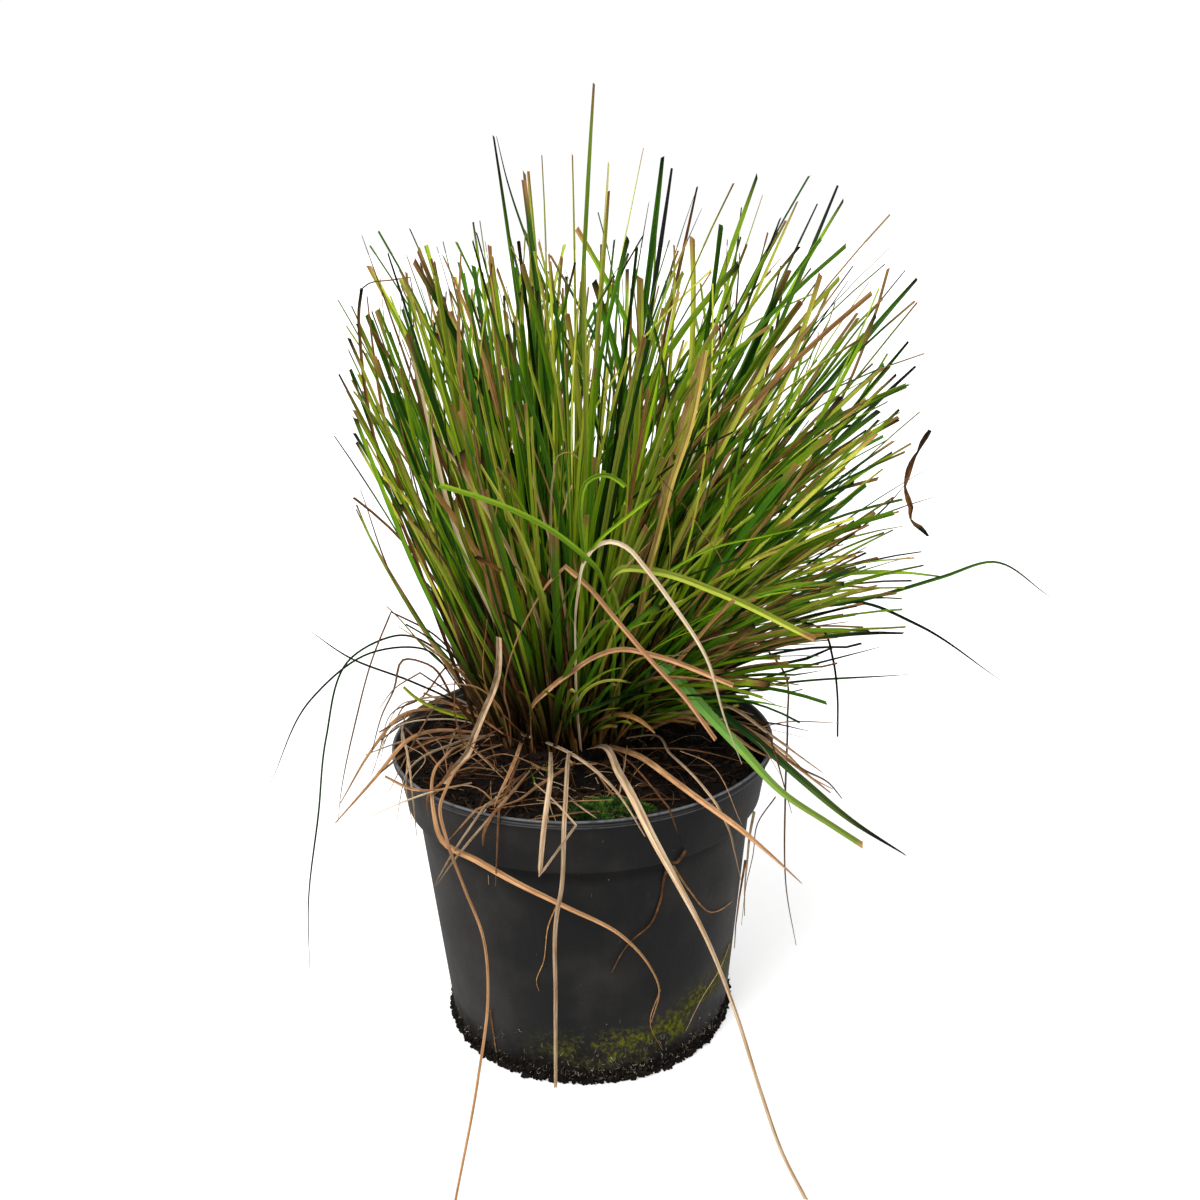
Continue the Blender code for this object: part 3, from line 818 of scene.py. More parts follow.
def curve_through(route: Sequence[Sequence[float]], spacing: float = 3.5 * MM) -> Points:
    """Smooth curve through a route's points.

    Args:
        route: points in metres.
        spacing: distance between the points of the curve.

    Returns:
        The points of the curve, evenly spread along each leg.
    """
    knots = np.array(route, float)
    before = np.vstack((2 * knots[0] - knots[1], knots[:-1]))
    after = np.vstack((knots[1:], 2 * knots[-1] - knots[-2]))
    legs = np.linalg.norm(after - knots, axis=1)
    back_legs = np.linalg.norm(knots - before, axis=1)
    weight = (back_legs / (back_legs + legs))[:, None]
    arriving, leaving = (knots - before) / back_legs[:, None], (after - knots) / legs[:, None]
    slopes = (1 - weight) * arriving + weight * leaving
    creased = ((arriving * leaving).sum(axis=1) < CREASE)[:, None]
    slopes_in, slopes_out = np.where(creased, arriving, slopes), np.where(creased, leaving, slopes)
    curve = []
    for index in range(len(knots) - 1):
        leg = legs[index]
        count = max(2, round(leg / spacing))
        t = np.linspace(0, 1, count, endpoint=False)[:, None]
        start, end = knots[index], knots[index + 1]
        pull_start, pull_end = slopes_out[index] * leg, slopes_in[index + 1] * leg
        curve.append((2 * t ** 3 - 3 * t ** 2 + 1) * start + (t ** 3 - 2 * t ** 2 + t) * pull_start
                     + (-2 * t ** 3 + 3 * t ** 2) * end + (t ** 3 - t ** 2) * pull_end)
    curve.append(knots[-1:])
    return np.concatenate(curve)


def frames_facing(path: Points, facing: Points) -> tuple[Points, Points]:
    """Width and back directions along a path that is seen flat from one side, without twist.

    Args:
        path: points of the path.
        facing: direction from which the blade is seen flat.

    Returns:
        The unit width directions and the unit directions away from the facing side.
    """
    headings = unit(np.gradient(path, axis=0))
    spans = np.cross(headings, facing)
    clearest = int(np.argmax(np.linalg.norm(spans, axis=1)))
    spans[clearest] = unit(spans[clearest])
    for index in [*range(clearest + 1, len(path)), *range(clearest - 1, -1, -1)]:
        near = spans[index - 1] if index > clearest else spans[index + 1]
        spans[index] = unit(near - headings[index] * near.dot(headings[index]))
    return spans, np.cross(headings, spans)


def turned_by(spans: Points, backs: Points, angles: Points) -> tuple[Points, Points]:
    """Width and back directions turned about the blade by an angle at each point."""
    cosine, sine = np.cos(angles)[:, None], np.sin(angles)[:, None]
    return spans * cosine + backs * sine, backs * cosine - spans * sine


def routed_blade(route: Sequence[Sequence[float]], width: float, tone: Tone, tip: Tip, chance: Random,
                 fold: float = 0.14, twist: float = 0.0) -> Blade:
    """Blade along a route of its own.

    Args:
        route: points in metres, from the foot to the tip.
        width: full width in metres.
        tone: its colouring.
        tip: how it ends.
        chance: source of its small unevenness.
        fold: depth of its V as a share of its width.
        twist: turn from foot to tip, in radians.

    Returns:
        The blade.
    """
    path = curve_through(route)
    spans, backs = frames_facing(path, STRAY_FACING)
    share = np.linspace(0, 1, len(path))
    wobble = 0.16 * np.sin(share * chance.uniform(9, 16) + chance.uniform(0, tau))
    spans, backs = turned_by(spans, backs, share * twist + wobble)
    return Blade(path, spans, backs, width, tone, tip, fold, 0.28 * MM, 0.8, chance.uniform(-0.2, 0.2))


def crumb_form() -> tuple[Points, list[tuple[int, ...]]]:
    """Small ball of twenty faces, the form of a crumb before it is made uneven.

    Returns:
        Its points and its faces.
    """
    shape = bmesh.new()
    bmesh.ops.create_icosphere(shape, subdivisions=1, radius=1.0)
    points = np.array([corner.co[:] for corner in shape.verts])
    faces = [tuple(corner.index for corner in face.verts) for face in shape.faces]
    shape.free()
    return points, faces


@dataclass
class Crumbs:
    """Uneven lumps of compost, bark and grit scattered into one mesh."""

    seed: int

    def __post_init__(self) -> None:
        """Prepare the lump that every crumb is made from."""
        self.chance = Random(self.seed)
        self.many = np.random.default_rng(self.seed)
        self.form, self.faces = crumb_form()
        self.stock = Stock()

    def drop(self, place: Sequence[float], size: float, stretch: float = 1.0) -> None:
        """Add one crumb.

        Args:
            place: its middle, in metres.
            size: its half width, in metres.
            stretch: how much longer than wide it is.
        """
        angle = self.chance.uniform(0, tau)
        axis = Vector([self.chance.gauss(0, 1) for _ in range(3)]).normalized()
        turn = np.array(Matrix.Rotation(angle, 3, axis))
        uneven = self.form * self.many.uniform(0.62, 1.1, (len(self.form), 1))
        sized = uneven * np.array((stretch, 1.0, self.chance.uniform(0.5, 0.9))) * size
        self.stock.add(sized @ turn.T + np.array(place), self.faces, {"tint": self.chance.random()})


# Pot

# Thin roots and hairs on the pot's wall: radius in millimetres, tint, route in millimetres
WALL_THREADS = (
    (0.8, 0.3, ((42, -75, 128), (36, -77, 117), (33, -76, 101), (28, -77, 89), (20, -79, 83), (16, -79, 78),
        (10, -79, 66))),
    (0.7, 0.6, ((39, -76, 119), (47, -68, 101), (58, -57, 82), (70, -36, 75))),
    (0.35, 0.8, ((71, -31, 47), (66, -40, 41), (54, -54, 31), (46, -60, 18))),
    (0.4, 0.55, ((-14, -82, 104), (-18, -80, 93), (-21, -78, 73), (-25, -75, 58), (-24, -74, 54))),
    (0.3, 0.9, ((-45, -71, 114), (-45, -71, 109))),
    (0.32, 0.6, ((33, -71, 50), (28, -71, 33), (34, -66, 12))),
    (0.5, 0.4, ((-49, -59, 33), (-48, -57, 16), (-47, -56, 1))),
    (0.4, 0.3, ((90, -46, 136), (82, -44, 121), (80, -44, 104), (77, -44, 88), (75, -44, 66))),
    (0.9, 0.9, ((84, -20, 115), (82, -20, 102), (81, -20, 88), (80, -20, 74), (80, -20, 56))),
    (0.8, 0.35, ((80, -20, 88), (78, -20, 73), (76, -20, 57), (75, -20, 37))),
)


@dataclass
class Pot:
    """The nursery pot: a moulded shell with a collar and a rim bead, and the dirt on its foot."""

    height: float = 152 * MM
    rim_radius: float = 95 * MM
    base_radius: float = 72.5 * MM
    collar_height: float = 30 * MM
    collar_bottom_radius: float = 88.9 * MM
    collar_top_radius: float = 92.9 * MM
    neck_radius: float = 84.2 * MM
    bead_height: float = 5 * MM
    wall: float = 1.3 * MM
    floor: float = 1.5 * MM
    foot_width: float = 8.5 * MM
    recess: float = 3 * MM
    pad_radius: float = 30 * MM
    segments: int = 192
    drain_holes: int = 8
    drain_radius: float = 6 * MM
    drain_circle: float = 50 * MM
    crumb_count: int = 3400
    rootlet_count: int = 300
    seed: int = 31

    def wall_radius(self, height: float) -> float:
        """Outside radius of the body below the collar, at a height."""
        share = height / (self.height - self.collar_height)
        return self.base_radius + (self.neck_radius - self.base_radius) * share

    def profile(self) -> list[tuple[float, float, float]]:
        """Half section, from the underside's middle round the rim to the inside's middle.

        Returns:
            Radius and height in metres and corner rounding in millimetres, one a corner.
        """
        collar, bead, slope = self.height - self.collar_height, self.height - self.bead_height, 2 * MM
        rim, base, pad, wall = self.rim_radius, self.base_radius, self.pad_radius, self.wall
        foot, recess, floor = base - self.foot_width, self.recess, self.floor
        outside = [
            (0, 0, 0), (pad, 0, 0.4), (pad + slope, recess, 0.6), (foot - slope, recess, 0.6), (foot, 0, 0.4),
            (base, 0, 1.2), (self.neck_radius, collar - 1 * MM, 0.5),
            (self.collar_bottom_radius, collar + 1.5 * MM, 0.9), (self.collar_top_radius, bead, 0.5),
            (rim, bead + 1.6 * MM, 0.7), (rim, bead + 2.7 * MM, 0.2), (rim - 0.55 * MM, bead + 3.2 * MM, 0.15),
            (rim - 0.1 * MM, bead + 3.8 * MM, 0.2), (rim - 0.1 * MM, self.height, 0.6)]
        inside = [
            (rim - wall, self.height, 0.4), (self.collar_top_radius - wall, bead, 0.6),
            (self.collar_bottom_radius - wall, collar + 2.6 * MM, 0.5), (self.neck_radius - wall, collar, 0.5),
            (base - wall, floor, 0.5), (foot + 0.6 * MM, floor, 0.2),
            (foot - slope + 0.4 * MM, recess + floor, 0.4), (pad + slope - 0.4 * MM, recess + floor, 0.4),
            (pad - 0.6 * MM, floor, 0.2), (0, floor, 0)]
        return outside + inside

    def rounded_profile(self) -> list[tuple[float, float]]:
        """The half section with its corners rounded.

        Returns:
            Radius and height, one a point.
        """
        corners = self.profile()
        outline = []
        for index, (radius, height, rounding) in enumerate(corners):
            here = np.array((radius, height))
            if not rounding:
                outline.append((radius, height))
                continue
            before, after = np.array(corners[index - 1][:2]), np.array(corners[index + 1][:2])
            reach = rounding * MM
            start = here + (before - here) * min(0.45, reach / np.linalg.norm(before - here))
            end = here + (after - here) * min(0.45, reach / np.linalg.norm(after - here))
            for share in (0.0, 0.33, 0.67, 1.0):
                point = start * (1 - share) ** 2 + here * 2 * share * (1 - share) + end * share ** 2
                outline.append((float(point[0]), float(point[1])))
        return outline

    def shell(self) -> None:
        """Turn the shell and cut its drainage holes."""
        shape = bmesh.new()
        rings = []
        for radius, height in self.rounded_profile():
            if radius == 0:
                rings.append([shape.verts.new((0, 0, height))])
                continue
            angles = [tau * step / self.segments for step in range(self.segments)]
            rings.append([shape.verts.new((*(radius * heading_of(angle)), height)) for angle in angles])
        for lower, upper in zip(rings, rings[1:]):
            for step in range(self.segments):
                after = (step + 1) % self.segments
                corners = (lower[step % len(lower)], lower[after % len(lower)],
                           upper[after % len(upper)], upper[step % len(upper)])
                shape.faces.new(list(dict.fromkeys(corners)))
        bmesh.ops.recalc_face_normals(shape, faces=shape.faces)
        mesh = bpy.data.meshes.new("pot_turned")
        shape.to_mesh(mesh)
        shape.free()
        turned = bpy.data.objects.new("pot_turned", mesh)
        bpy.context.collection.objects.link(turned)
        cutters = [self.drain_cutter(turned, number) for number in range(self.drain_holes)]
        graph = bpy.context.evaluated_depsgraph_get()
        pierced = bpy.data.meshes.new_from_object(turned.evaluated_get(graph))
        for item in (turned, *cutters):
            bpy.data.objects.remove(item, do_unlink=True)
        settle(link_piece("pot_shell", pierced, PotFinish().material(), 28.0), "pot", "pot")

    def drain_cutter(self, shell: Object, number: int) -> Object:
        """Cylinder that cuts one drainage hole through the raised part of the floor.

        Args:
            shell: the shell that it cuts.
            number: which hole it is.

        Returns:
            The cutter.
        """
        angle = tau * (number + 0.5) / self.drain_holes
        shape = bmesh.new()
        bmesh.ops.create_cone(shape, cap_ends=True, segments=32, radius1=self.drain_radius,
                              radius2=self.drain_radius, depth=12 * MM)
        mesh = bpy.data.meshes.new(f"drain_{number}")
        shape.to_mesh(mesh)
        shape.free()
        cutter = bpy.data.objects.new(f"drain_{number}", mesh)
        cutter.location = (*(self.drain_circle * heading_of(angle)), 0)
        bpy.context.collection.objects.link(cutter)
        cut = shell.modifiers.new(f"drain_{number}", "BOOLEAN")
        cut.operation = "DIFFERENCE"
        cut.solver = "EXACT"
        cut.object = cutter
        return cutter

    def surface_radius(self, height: float) -> float:
        """Outside radius of the pot at a height, collar and bead included.

        Args:
            height: height above the floor.

        Returns:
            The radius.
        """
        collar, bead = self.height - self.collar_height, self.height - self.bead_height
        if height < collar:
            return self.wall_radius(height)
        share = (height - collar) / (bead - collar)
        widened = self.collar_bottom_radius + (self.collar_top_radius - self.collar_bottom_radius) * share
        return widened if height < bead else self.rim_radius

    def foot_crumbs(self) -> None:
        """Wet compost that clings round the pot's lower edge, thickest at the front."""
        crumbs = Crumbs(self.seed)
        chance = crumbs.chance
        for _ in range(self.crumb_count):
            bearing = chance.uniform(0, tau)
            front = 0.5 - 0.5 * sin(bearing)
            if chance.random() > 0.3 + 0.7 * front:
                continue
            heap = 0.5 + 0.5 * noise.noise(Vector((*heading_of(bearing), 0.0)) * 5)
            height = abs(chance.gauss(0, 1.8 + 4.4 * front * heap)) * MM + 0.6 * MM
            size = chance.uniform(0.4, 1.9) * MM * (1.1 - min(height / (18 * MM), 0.75))
            spill = max(0.0, 1 - height / (4 * MM)) * chance.uniform(0, 3.2) * MM * heap
            radius = self.wall_radius(height) + size * chance.uniform(-0.2, 0.5) + spill
            crumbs.drop((*(radius * heading_of(bearing)), max(height, size * 0.8)), size, chance.uniform(1.0, 1.7))
        finish = CompostFinish("foot_compost", bark=paint(34, 28, 20), grit=paint(90, 84, 74)).material()
        settle(crumbs.stock.piece("pot_foot_crumbs", finish, 50.0), "soil")

    def threads(self) -> None:
        """Thin roots and hairs that lie on the pot's wall."""
        stock = Stock()
        for radius, tint, route in WALL_THREADS:
            path = curve_through(in_metres(route), 2 * MM)
            out = np.hypot(path[:, 0], path[:, 1])
            least = np.array([self.surface_radius(float(level)) for level in path[:, 2]]) + radius * MM
            path[:, :2] *= (np.maximum(out, least) / out)[:, None]
            Thread(path, radius * MM, Tone(tint, 1.0), 0.3).add_to(stock)
        settle(stock.piece("pot_threads", BladeFinish("thread_fibre").material(), 60.0), "dry_leaf")

    def rootlets(self) -> None:
        """Short pale rootlets and bits of leaf stuck to the pot's lower front."""
        chance = Random(self.seed + 1)
        stock = Stock()
        for _ in range(self.rootlet_count):
            bearing = chance.gauss(-pi / 2 + 0.1, 0.62)
            height = (3 + abs(chance.gauss(0, 8))) * MM
            length = chance.uniform(0.8, 2.8) * MM
            turn, curl = chance.uniform(0, tau), chance.gauss(0, 1.1)
            path = []
            for step in range(6):
                share = step / 5
                angle = turn + curl * share
                bearing_here = bearing + cos(angle) * length * share / self.base_radius
                height_here = max(1.2 * MM, height + sin(angle) * length * share)
                radius = self.wall_radius(height_here) + (0.5 + 1.1 * sin(pi * share)) * MM
                path.append((*(radius * heading_of(bearing_here)), height_here))
            tone = Tone(chance.uniform(0.1, 1.0), 1.0)
            Thread(np.array(path), chance.uniform(0.07, 0.15) * MM, tone).add_to(stock)
        pale = ((0.0, paint(58, 54, 42)), (0.6, paint(120, 116, 98)), (1.0, paint(184, 180, 160)))
        settle(stock.piece("pot_rootlets", BladeFinish("rootlet_fibre", dead=pale).material(), 60.0), "dry_leaf")

    def build(self) -> None:
        """Make and dress every piece of the pot."""
        self.shell()
        self.foot_crumbs()
        self.rootlets()
        self.threads()


# Compost, moss and crown


@dataclass
class Bed:
    """The compost in the pot, with its loose crumbs, bark slivers, roots and moss."""

    top: float = 143 * MM
    edge_top: float = 140 * MM
    shoulder_radius: float = 78 * MM
    edge_radius: float = 90.2 * MM
    rings: int = 60
    spokes: int = 300
    moss_centre: tuple[float, float] = (13 * MM, -71 * MM)
    moss_half: tuple[float, float] = (19 * MM, 9 * MM)
    moss_height: float = 4.5 * MM
    crumb_count: int = 2600
    root_count: int = 260
    moss_leaves: int = 3600
    seed: int = 47

    def height_at(self, x: float, y: float) -> float:
        """Height of the uneven surface over a point.

        Args:
            x: place to the right.
            y: place to the back.

        Returns:
            The height.
        """
        radius = hypot(x, y)
        fall = max(0.0, (radius - self.shoulder_radius) / (self.edge_radius - self.shoulder_radius))
        level = self.top + 1.4 * MM - 3 * MM * min(fall, 1.0)
        lumps = noise.noise(Vector((x, y, 0.3)) * 70) * 1.5 + noise.noise(Vector((x, y, 1.7)) * 190) * 0.9
        fine = noise.noise(Vector((x, y, 3.1)) * 520) * 0.45
        return max(level + (lumps + fine) * MM, level - 1.0 * MM)

    def surface(self) -> None:
        """Uneven skin of compost over the plain filling, down to the filling's edge."""
        points = [(0.0, 0.0, self.height_at(0, 0))]
        for ring in range(1, self.rings + 1):
            radius = self.edge_radius * ring / self.rings
            for spoke in range(self.spokes):
                x, y = radius * heading_of(tau * spoke / self.spokes)
                points.append((x, y, self.height_at(x, y)))
        foot, level = len(points), self.edge_top - 2 * MM
        for spoke in range(self.spokes):
            points.append((*(self.edge_radius * heading_of(tau * spoke / self.spokes)), level))
        points.append((0.0, 0.0, level))
        faces = disc_faces(self.rings + 1, self.spokes)
        for spoke in range(self.spokes):
            faces.append((foot + spoke, foot + self.spokes, foot + (spoke + 1) % self.spokes))
        stock = Stock()
        stock.add(np.array(points), faces, {"tint": 0.25})
        settle(stock.piece("compost_surface", CompostFinish("compost").material(), 80.0), "soil")

    def crumbs(self) -> None:
        """Loose crumbs, bark and grit on the surface."""
        crumbs = Crumbs(self.seed)
        chance = crumbs.chance
        for _ in range(self.crumb_count):
            radius = self.edge_radius * sqrt(chance.uniform(0.02, 0.97))
            x, y = radius * heading_of(chance.uniform(0, tau))
            size = min(0.35 + chance.expovariate(1.5), 2.4) * MM
            crumbs.drop((x, y, self.height_at(x, y) + size * 0.3), size, chance.uniform(1.0, 2.2))
        settle(crumbs.stock.piece("compost_crumbs", CompostFinish("compost_crumb").material(), 50.0), "soil")

    def roots(self) -> None:
        """Fine roots and thin bits of dead leaf lying in the compost."""
        chance = Random(self.seed + 1)
        stock = Stock()
        for _ in range(self.root_count):
            radius = self.edge_radius * sqrt(chance.uniform(0.1, 0.93))
            bearing = chance.uniform(0, tau)
            turn, curl = chance.uniform(0, tau), chance.gauss(0, 1.3)
            length = chance.uniform(5, 26) * MM
            x, y = radius * heading_of(bearing)
            lift = chance.uniform(0.6, 2.8) * MM
            path = []
            for step in range(9):
                share = step / 8
                place = (x, y, self.height_at(x, y) + 0.4 * MM + lift * sin(pi * share))
                if hypot(x, y) > 90 * MM:
                    break
                path.append(place)
                x += cos(turn + curl * share) * length / 8
                y += sin(turn + curl * share) * length / 8
            if len(path) > 3:
                tone = Tone(min(1.0, chance.choice((0.0, 0.0, 0.04, 0.1, 0.2, 0.7)) + chance.uniform(0, 0.1)), 1.0)
                Thread(np.array(path), chance.uniform(0.08, 0.26) * MM, tone).add_to(stock)
        settle(stock.piece("compost_roots", BladeFinish("root_fibre").material(), 60.0), "crown")

    def moss(self) -> None:
        """Cushion of moss: a low mound with a nap of small upright leaves."""
        chance = Random(self.seed + 2)
        stock = Stock()
        foot = self.top + 0.3 * MM
        rings, spokes = 14, 48
        points = [(*self.moss_centre, foot + self.moss_height)]
        for ring in range(1, rings + 1):
            share = ring / rings
            for spoke in range(spokes):
                angle = tau * spoke / spokes
                x = self.moss_centre[0] + self.moss_half[0] * share * cos(angle)
                y = self.moss_centre[1] + self.moss_half[1] * share * sin(angle)
                lump = noise.noise(Vector((x, y, 5.0)) * 260) * 0.7 * MM
                points.append((x, y, foot + self.moss_height * (1 - share ** 2.2) + lump * (1 - share)))
        faces = disc_faces(rings, spokes)
        faces.append(tuple(1 + (rings - 1) * spokes + spoke for spoke in reversed(range(spokes))))
        stock.add(np.array(points), faces, {"along": 0.1, "tint": 0.4})
        for _ in range(self.moss_leaves):
            share, angle = sqrt(chance.random()), chance.uniform(0, tau)
            x = self.moss_centre[0] + self.moss_half[0] * share * 1.05 * cos(angle)
            y = self.moss_centre[1] + self.moss_half[1] * share * 1.08 * sin(angle)
            base = np.array((x, y, foot + self.moss_height * max(0.0, 1 - share ** 2.2) - 0.3 * MM))
            lean = np.array((chance.gauss(0, 0.6), chance.gauss(0, 0.6), 1.0))
            length = chance.uniform(0.9, 2.8) * (1.3 - 0.6 * (x - self.moss_centre[0]) / self.moss_half[0]) * MM
            path = np.array([base + unit(lean) * length * step / 3 for step in range(4)])
            path[-1] += np.array((chance.gauss(0, 0.3), chance.gauss(0, 0.3), 0)) * MM
            Thread(path, chance.uniform(0.1, 0.2) * MM, Tone(chance.random()), 0.25).add_to(stock)
        settle(stock.piece("moss_cushion", MossFinish().material(), 60.0), "moss", "moss_patch")

    def build(self) -> None:
        """Make and dress every piece of the bed."""
        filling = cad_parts["soil"]
        filling.material_slots[0].material = CompostFinish("compost_filling").material()
        self.surface()
        self.crumbs()
        self.roots()
        self.moss()


# Grass


@dataclass
class Fan:
    """How the clump spreads: each blade stays in the upright plane of its root and leans outwards."""

    centre: Points = field(default_factory=lambda: np.array((-10 * MM, 28 * MM)))
    foot: float = 147.8 * MM
    spacing: float = 13 * MM
    rings: int = 3
    radius: float = 40 * MM
    lean_mean: float = radians(42)
    lean_to_right: float = radians(16)
    lean_to_back: float = radians(4)
    lean_limit: float = radians(84)
    share_at_root: float = 0.7
    cut_length: float = 225 * MM
    spread_mean: float = 136 * MM
    spread_to_right: float = 36 * MM
    spread_shortest: float = 0.86
    spread_longest: float = 1.02

    def point(self, root: Points, run: Points) -> Points:
        """Points reached after runs along blades from roots on the crown.

        Args:
            root: roots from the crown's centre, one a row.
            run: run along each blade.

        Returns:
            The points in the plant's frame, one a row.
        """
        distance = np.hypot(root[:, 0], root[:, 1])
        bearing = np.arctan2(root[:, 1], root[:, 0])
        lean = self.lean_mean + self.lean_to_right * np.cos(bearing) + self.lean_to_back * np.sin(bearing)
        full = np.minimum(lean * distance / self.radius, self.lean_limit)
        start = full * self.share_at_root
        bend = np.maximum(full * (1 - self.share_at_root) / self.cut_length, 1e-4)
        end = start + bend * run
        reach = distance + (np.cos(start) - np.cos(end)) / bend
        height = (np.sin(end) - np.sin(start)) / bend
        return np.stack((self.centre[0] + reach * np.cos(bearing), self.centre[1] + reach * np.sin(bearing),
                         self.foot + height), axis=1)

    def _run_until(self, root: Points, passed: Callable[[Points], bool]) -> float:
        """Find a run along the blade from a root by halving.

        Args:
            root: the root from the crown's centre.
            passed: tells whether a point of the blade lies past the limit.

        Returns:
            The longest run that stays within the limit.
        """
        low, high = 0.0, 2 * self.cut_length
        for _ in range(HALVINGS):
            middle = (low + high) / 2
            if passed(self.point(root[None, :], np.array((middle,)))[0]):
                high = middle
            else:
                low = middle
        return low

    def run_to_height(self, root: Points, height: float) -> float:
        """Run at which the blade from a root reaches a height."""
        return self._run_until(root, lambda place: place[2] >= height)

    def spread_limit(self, root: Points) -> float:
        """Farthest that the sheared blades reach from the crown's centre on a root's bearing."""
        return self.spread_mean + self.spread_to_right * root[0] / max(float(np.hypot(*root)), 1e-9)

    def run_to_reach(self, root: Points, reach: float) -> float:
        """Run at which the blade from a root reaches a distance from the crown's centre."""
        return self._run_until(root, lambda place: np.hypot(*(place[:2] - self.centre)) >= reach)

    def root_of(self, tip: Points) -> tuple[Points, float]:
        """Root and run of the blade that ends at a tip.

        Args:
            tip: the tip in the plant's frame.

        Returns:
            The root from the crown's centre, and the run.
        """
        flat = tip[:2] - self.centre
        low, high = 0.0, 1.6 * self.radius
        for _ in range(HALVINGS):
            root = unit(flat) * (low + high) / 2
            run = self.run_to_height(root, tip[2])
            reached = self.point(root[None, :], np.array((run,)))[0, :2] - self.centre
            if np.hypot(*reached) < np.hypot(*flat):
                low = (low + high) / 2
            else:
                high = (low + high) / 2
        return root, run

    def shoot_roots(self) -> list[Points]:
        """Roots of the shoots: a hexagonal grid on the crown, without its far corners.

        Returns:
            The roots from the crown's centre.
        """
        along = np.array((self.spacing / 2, self.spacing * sqrt(3) / 2))
        roots = []
        for row in range(-self.rings, self.rings + 1):
            for column in range(-self.rings, self.rings + 1):
                root = np.array((self.spacing * column, 0.0)) + along * row
                if abs(row + column) <= self.rings and np.hypot(*root) < self.spacing * self.rings * 0.95:
                    roots.append(root)
        return roots


# Blades that stand out of the sheared outline: tip in millimetres, width, colouring
LONG_BLADES = (
    ((-94, 20, 393), 1.8, Look.BROWN), ((-77, -20, 386), 2.6, Look.DEEP), ((-105, 40, 361), 2.4, Look.GREEN),
    ((-101, 0, 344), 2.8, Look.GREEN), ((-110, 20, 331), 2.6, Look.BROWN), ((-115, 20, 302), 3.1, Look.DEEP),
    ((-56, -20, 388), 1.8, Look.BLACK), ((-73, 60, 380), 3.1, Look.TAN_BLACK), ((-43, 20, 398), 3.5, Look.GREEN),
    ((-34, -40, 390), 1.9, Look.OLIVE), ((-33, 42, 436), 2.2, Look.DEEP), ((-18, 0, 418), 3.1, Look.YELLOW),
    ((-18, 60, 421), 3.8, Look.YELLOW), ((3, -20, 424), 2.4, Look.OLIVE), ((14, 30, 456), 4.0, Look.FRESH),
    ((21, 62, 424), 2.1, Look.PALE), ((18, -22, 409), 2.6, Look.YELLOW), ((35, -20, 404), 1.8, Look.DEEP),
    ((44, 20, 424), 4.2, Look.WIDE_DEEP), ((50, 42, 420), 2.8, Look.BLACK), ((64, 62, 412), 2.4, Look.BROWN),
    ((74, -22, 389), 2.6, Look.GREEN), ((87, 20, 415), 3.3, Look.GREEN), ((96, 62, 407), 2.6, Look.FRESH),
    ((91, -20, 396), 2.6, Look.DEEP), ((113, 60, 404), 2.1, Look.OLIVE), ((111, 0, 402), 3.1, Look.DEEP),
    ((124, 20, 410), 2.6, Look.DEEP), ((136, 62, 404), 3.1, Look.GREEN), ((121, -22, 370), 1.9, Look.DEEP),
    ((151, 64, 365), 2.1, Look.OLIVE), ((157, 20, 372), 2.1, Look.DEEP), ((174, 60, 366), 4.2, Look.WIDE_DEEP),
    ((149, -20, 343), 3.1, Look.WIDE_DEEP), ((170, 40, 325), 3.1, Look.DEEP), ((152, 0, 310), 3.1, Look.GREEN),
    ((161, 42, 282), 2.8, Look.GREEN), ((174, 20, 278), 1.9, Look.DEEP), ((189, 60, 254), 1.9, Look.BROWN),
    ((146, -22, 258), 2.8, Look.GREEN), ((172, 18, 236), 2.8, Look.DEEP), ((162, -20, 240), 3.5, Look.GREEN),
    ((190, 40, 216), 3.3, Look.GREEN), ((153, -24, 208), 2.4, Look.DEEP), ((156, 20, 186), 2.1, Look.DEEP),
    ((112, -30, 196), 2.6, Look.GREEN), ((128, 10, 198), 2.8, Look.TAN_BLACK), ((104, -36, 206), 2.4, Look.DEEP),
    ((138, -10, 222), 2.6, Look.GREEN), ((132, -42, 216), 2.6, Look.GREEN), ((174, 30, 172), 1.9, Look.BLACK),
)


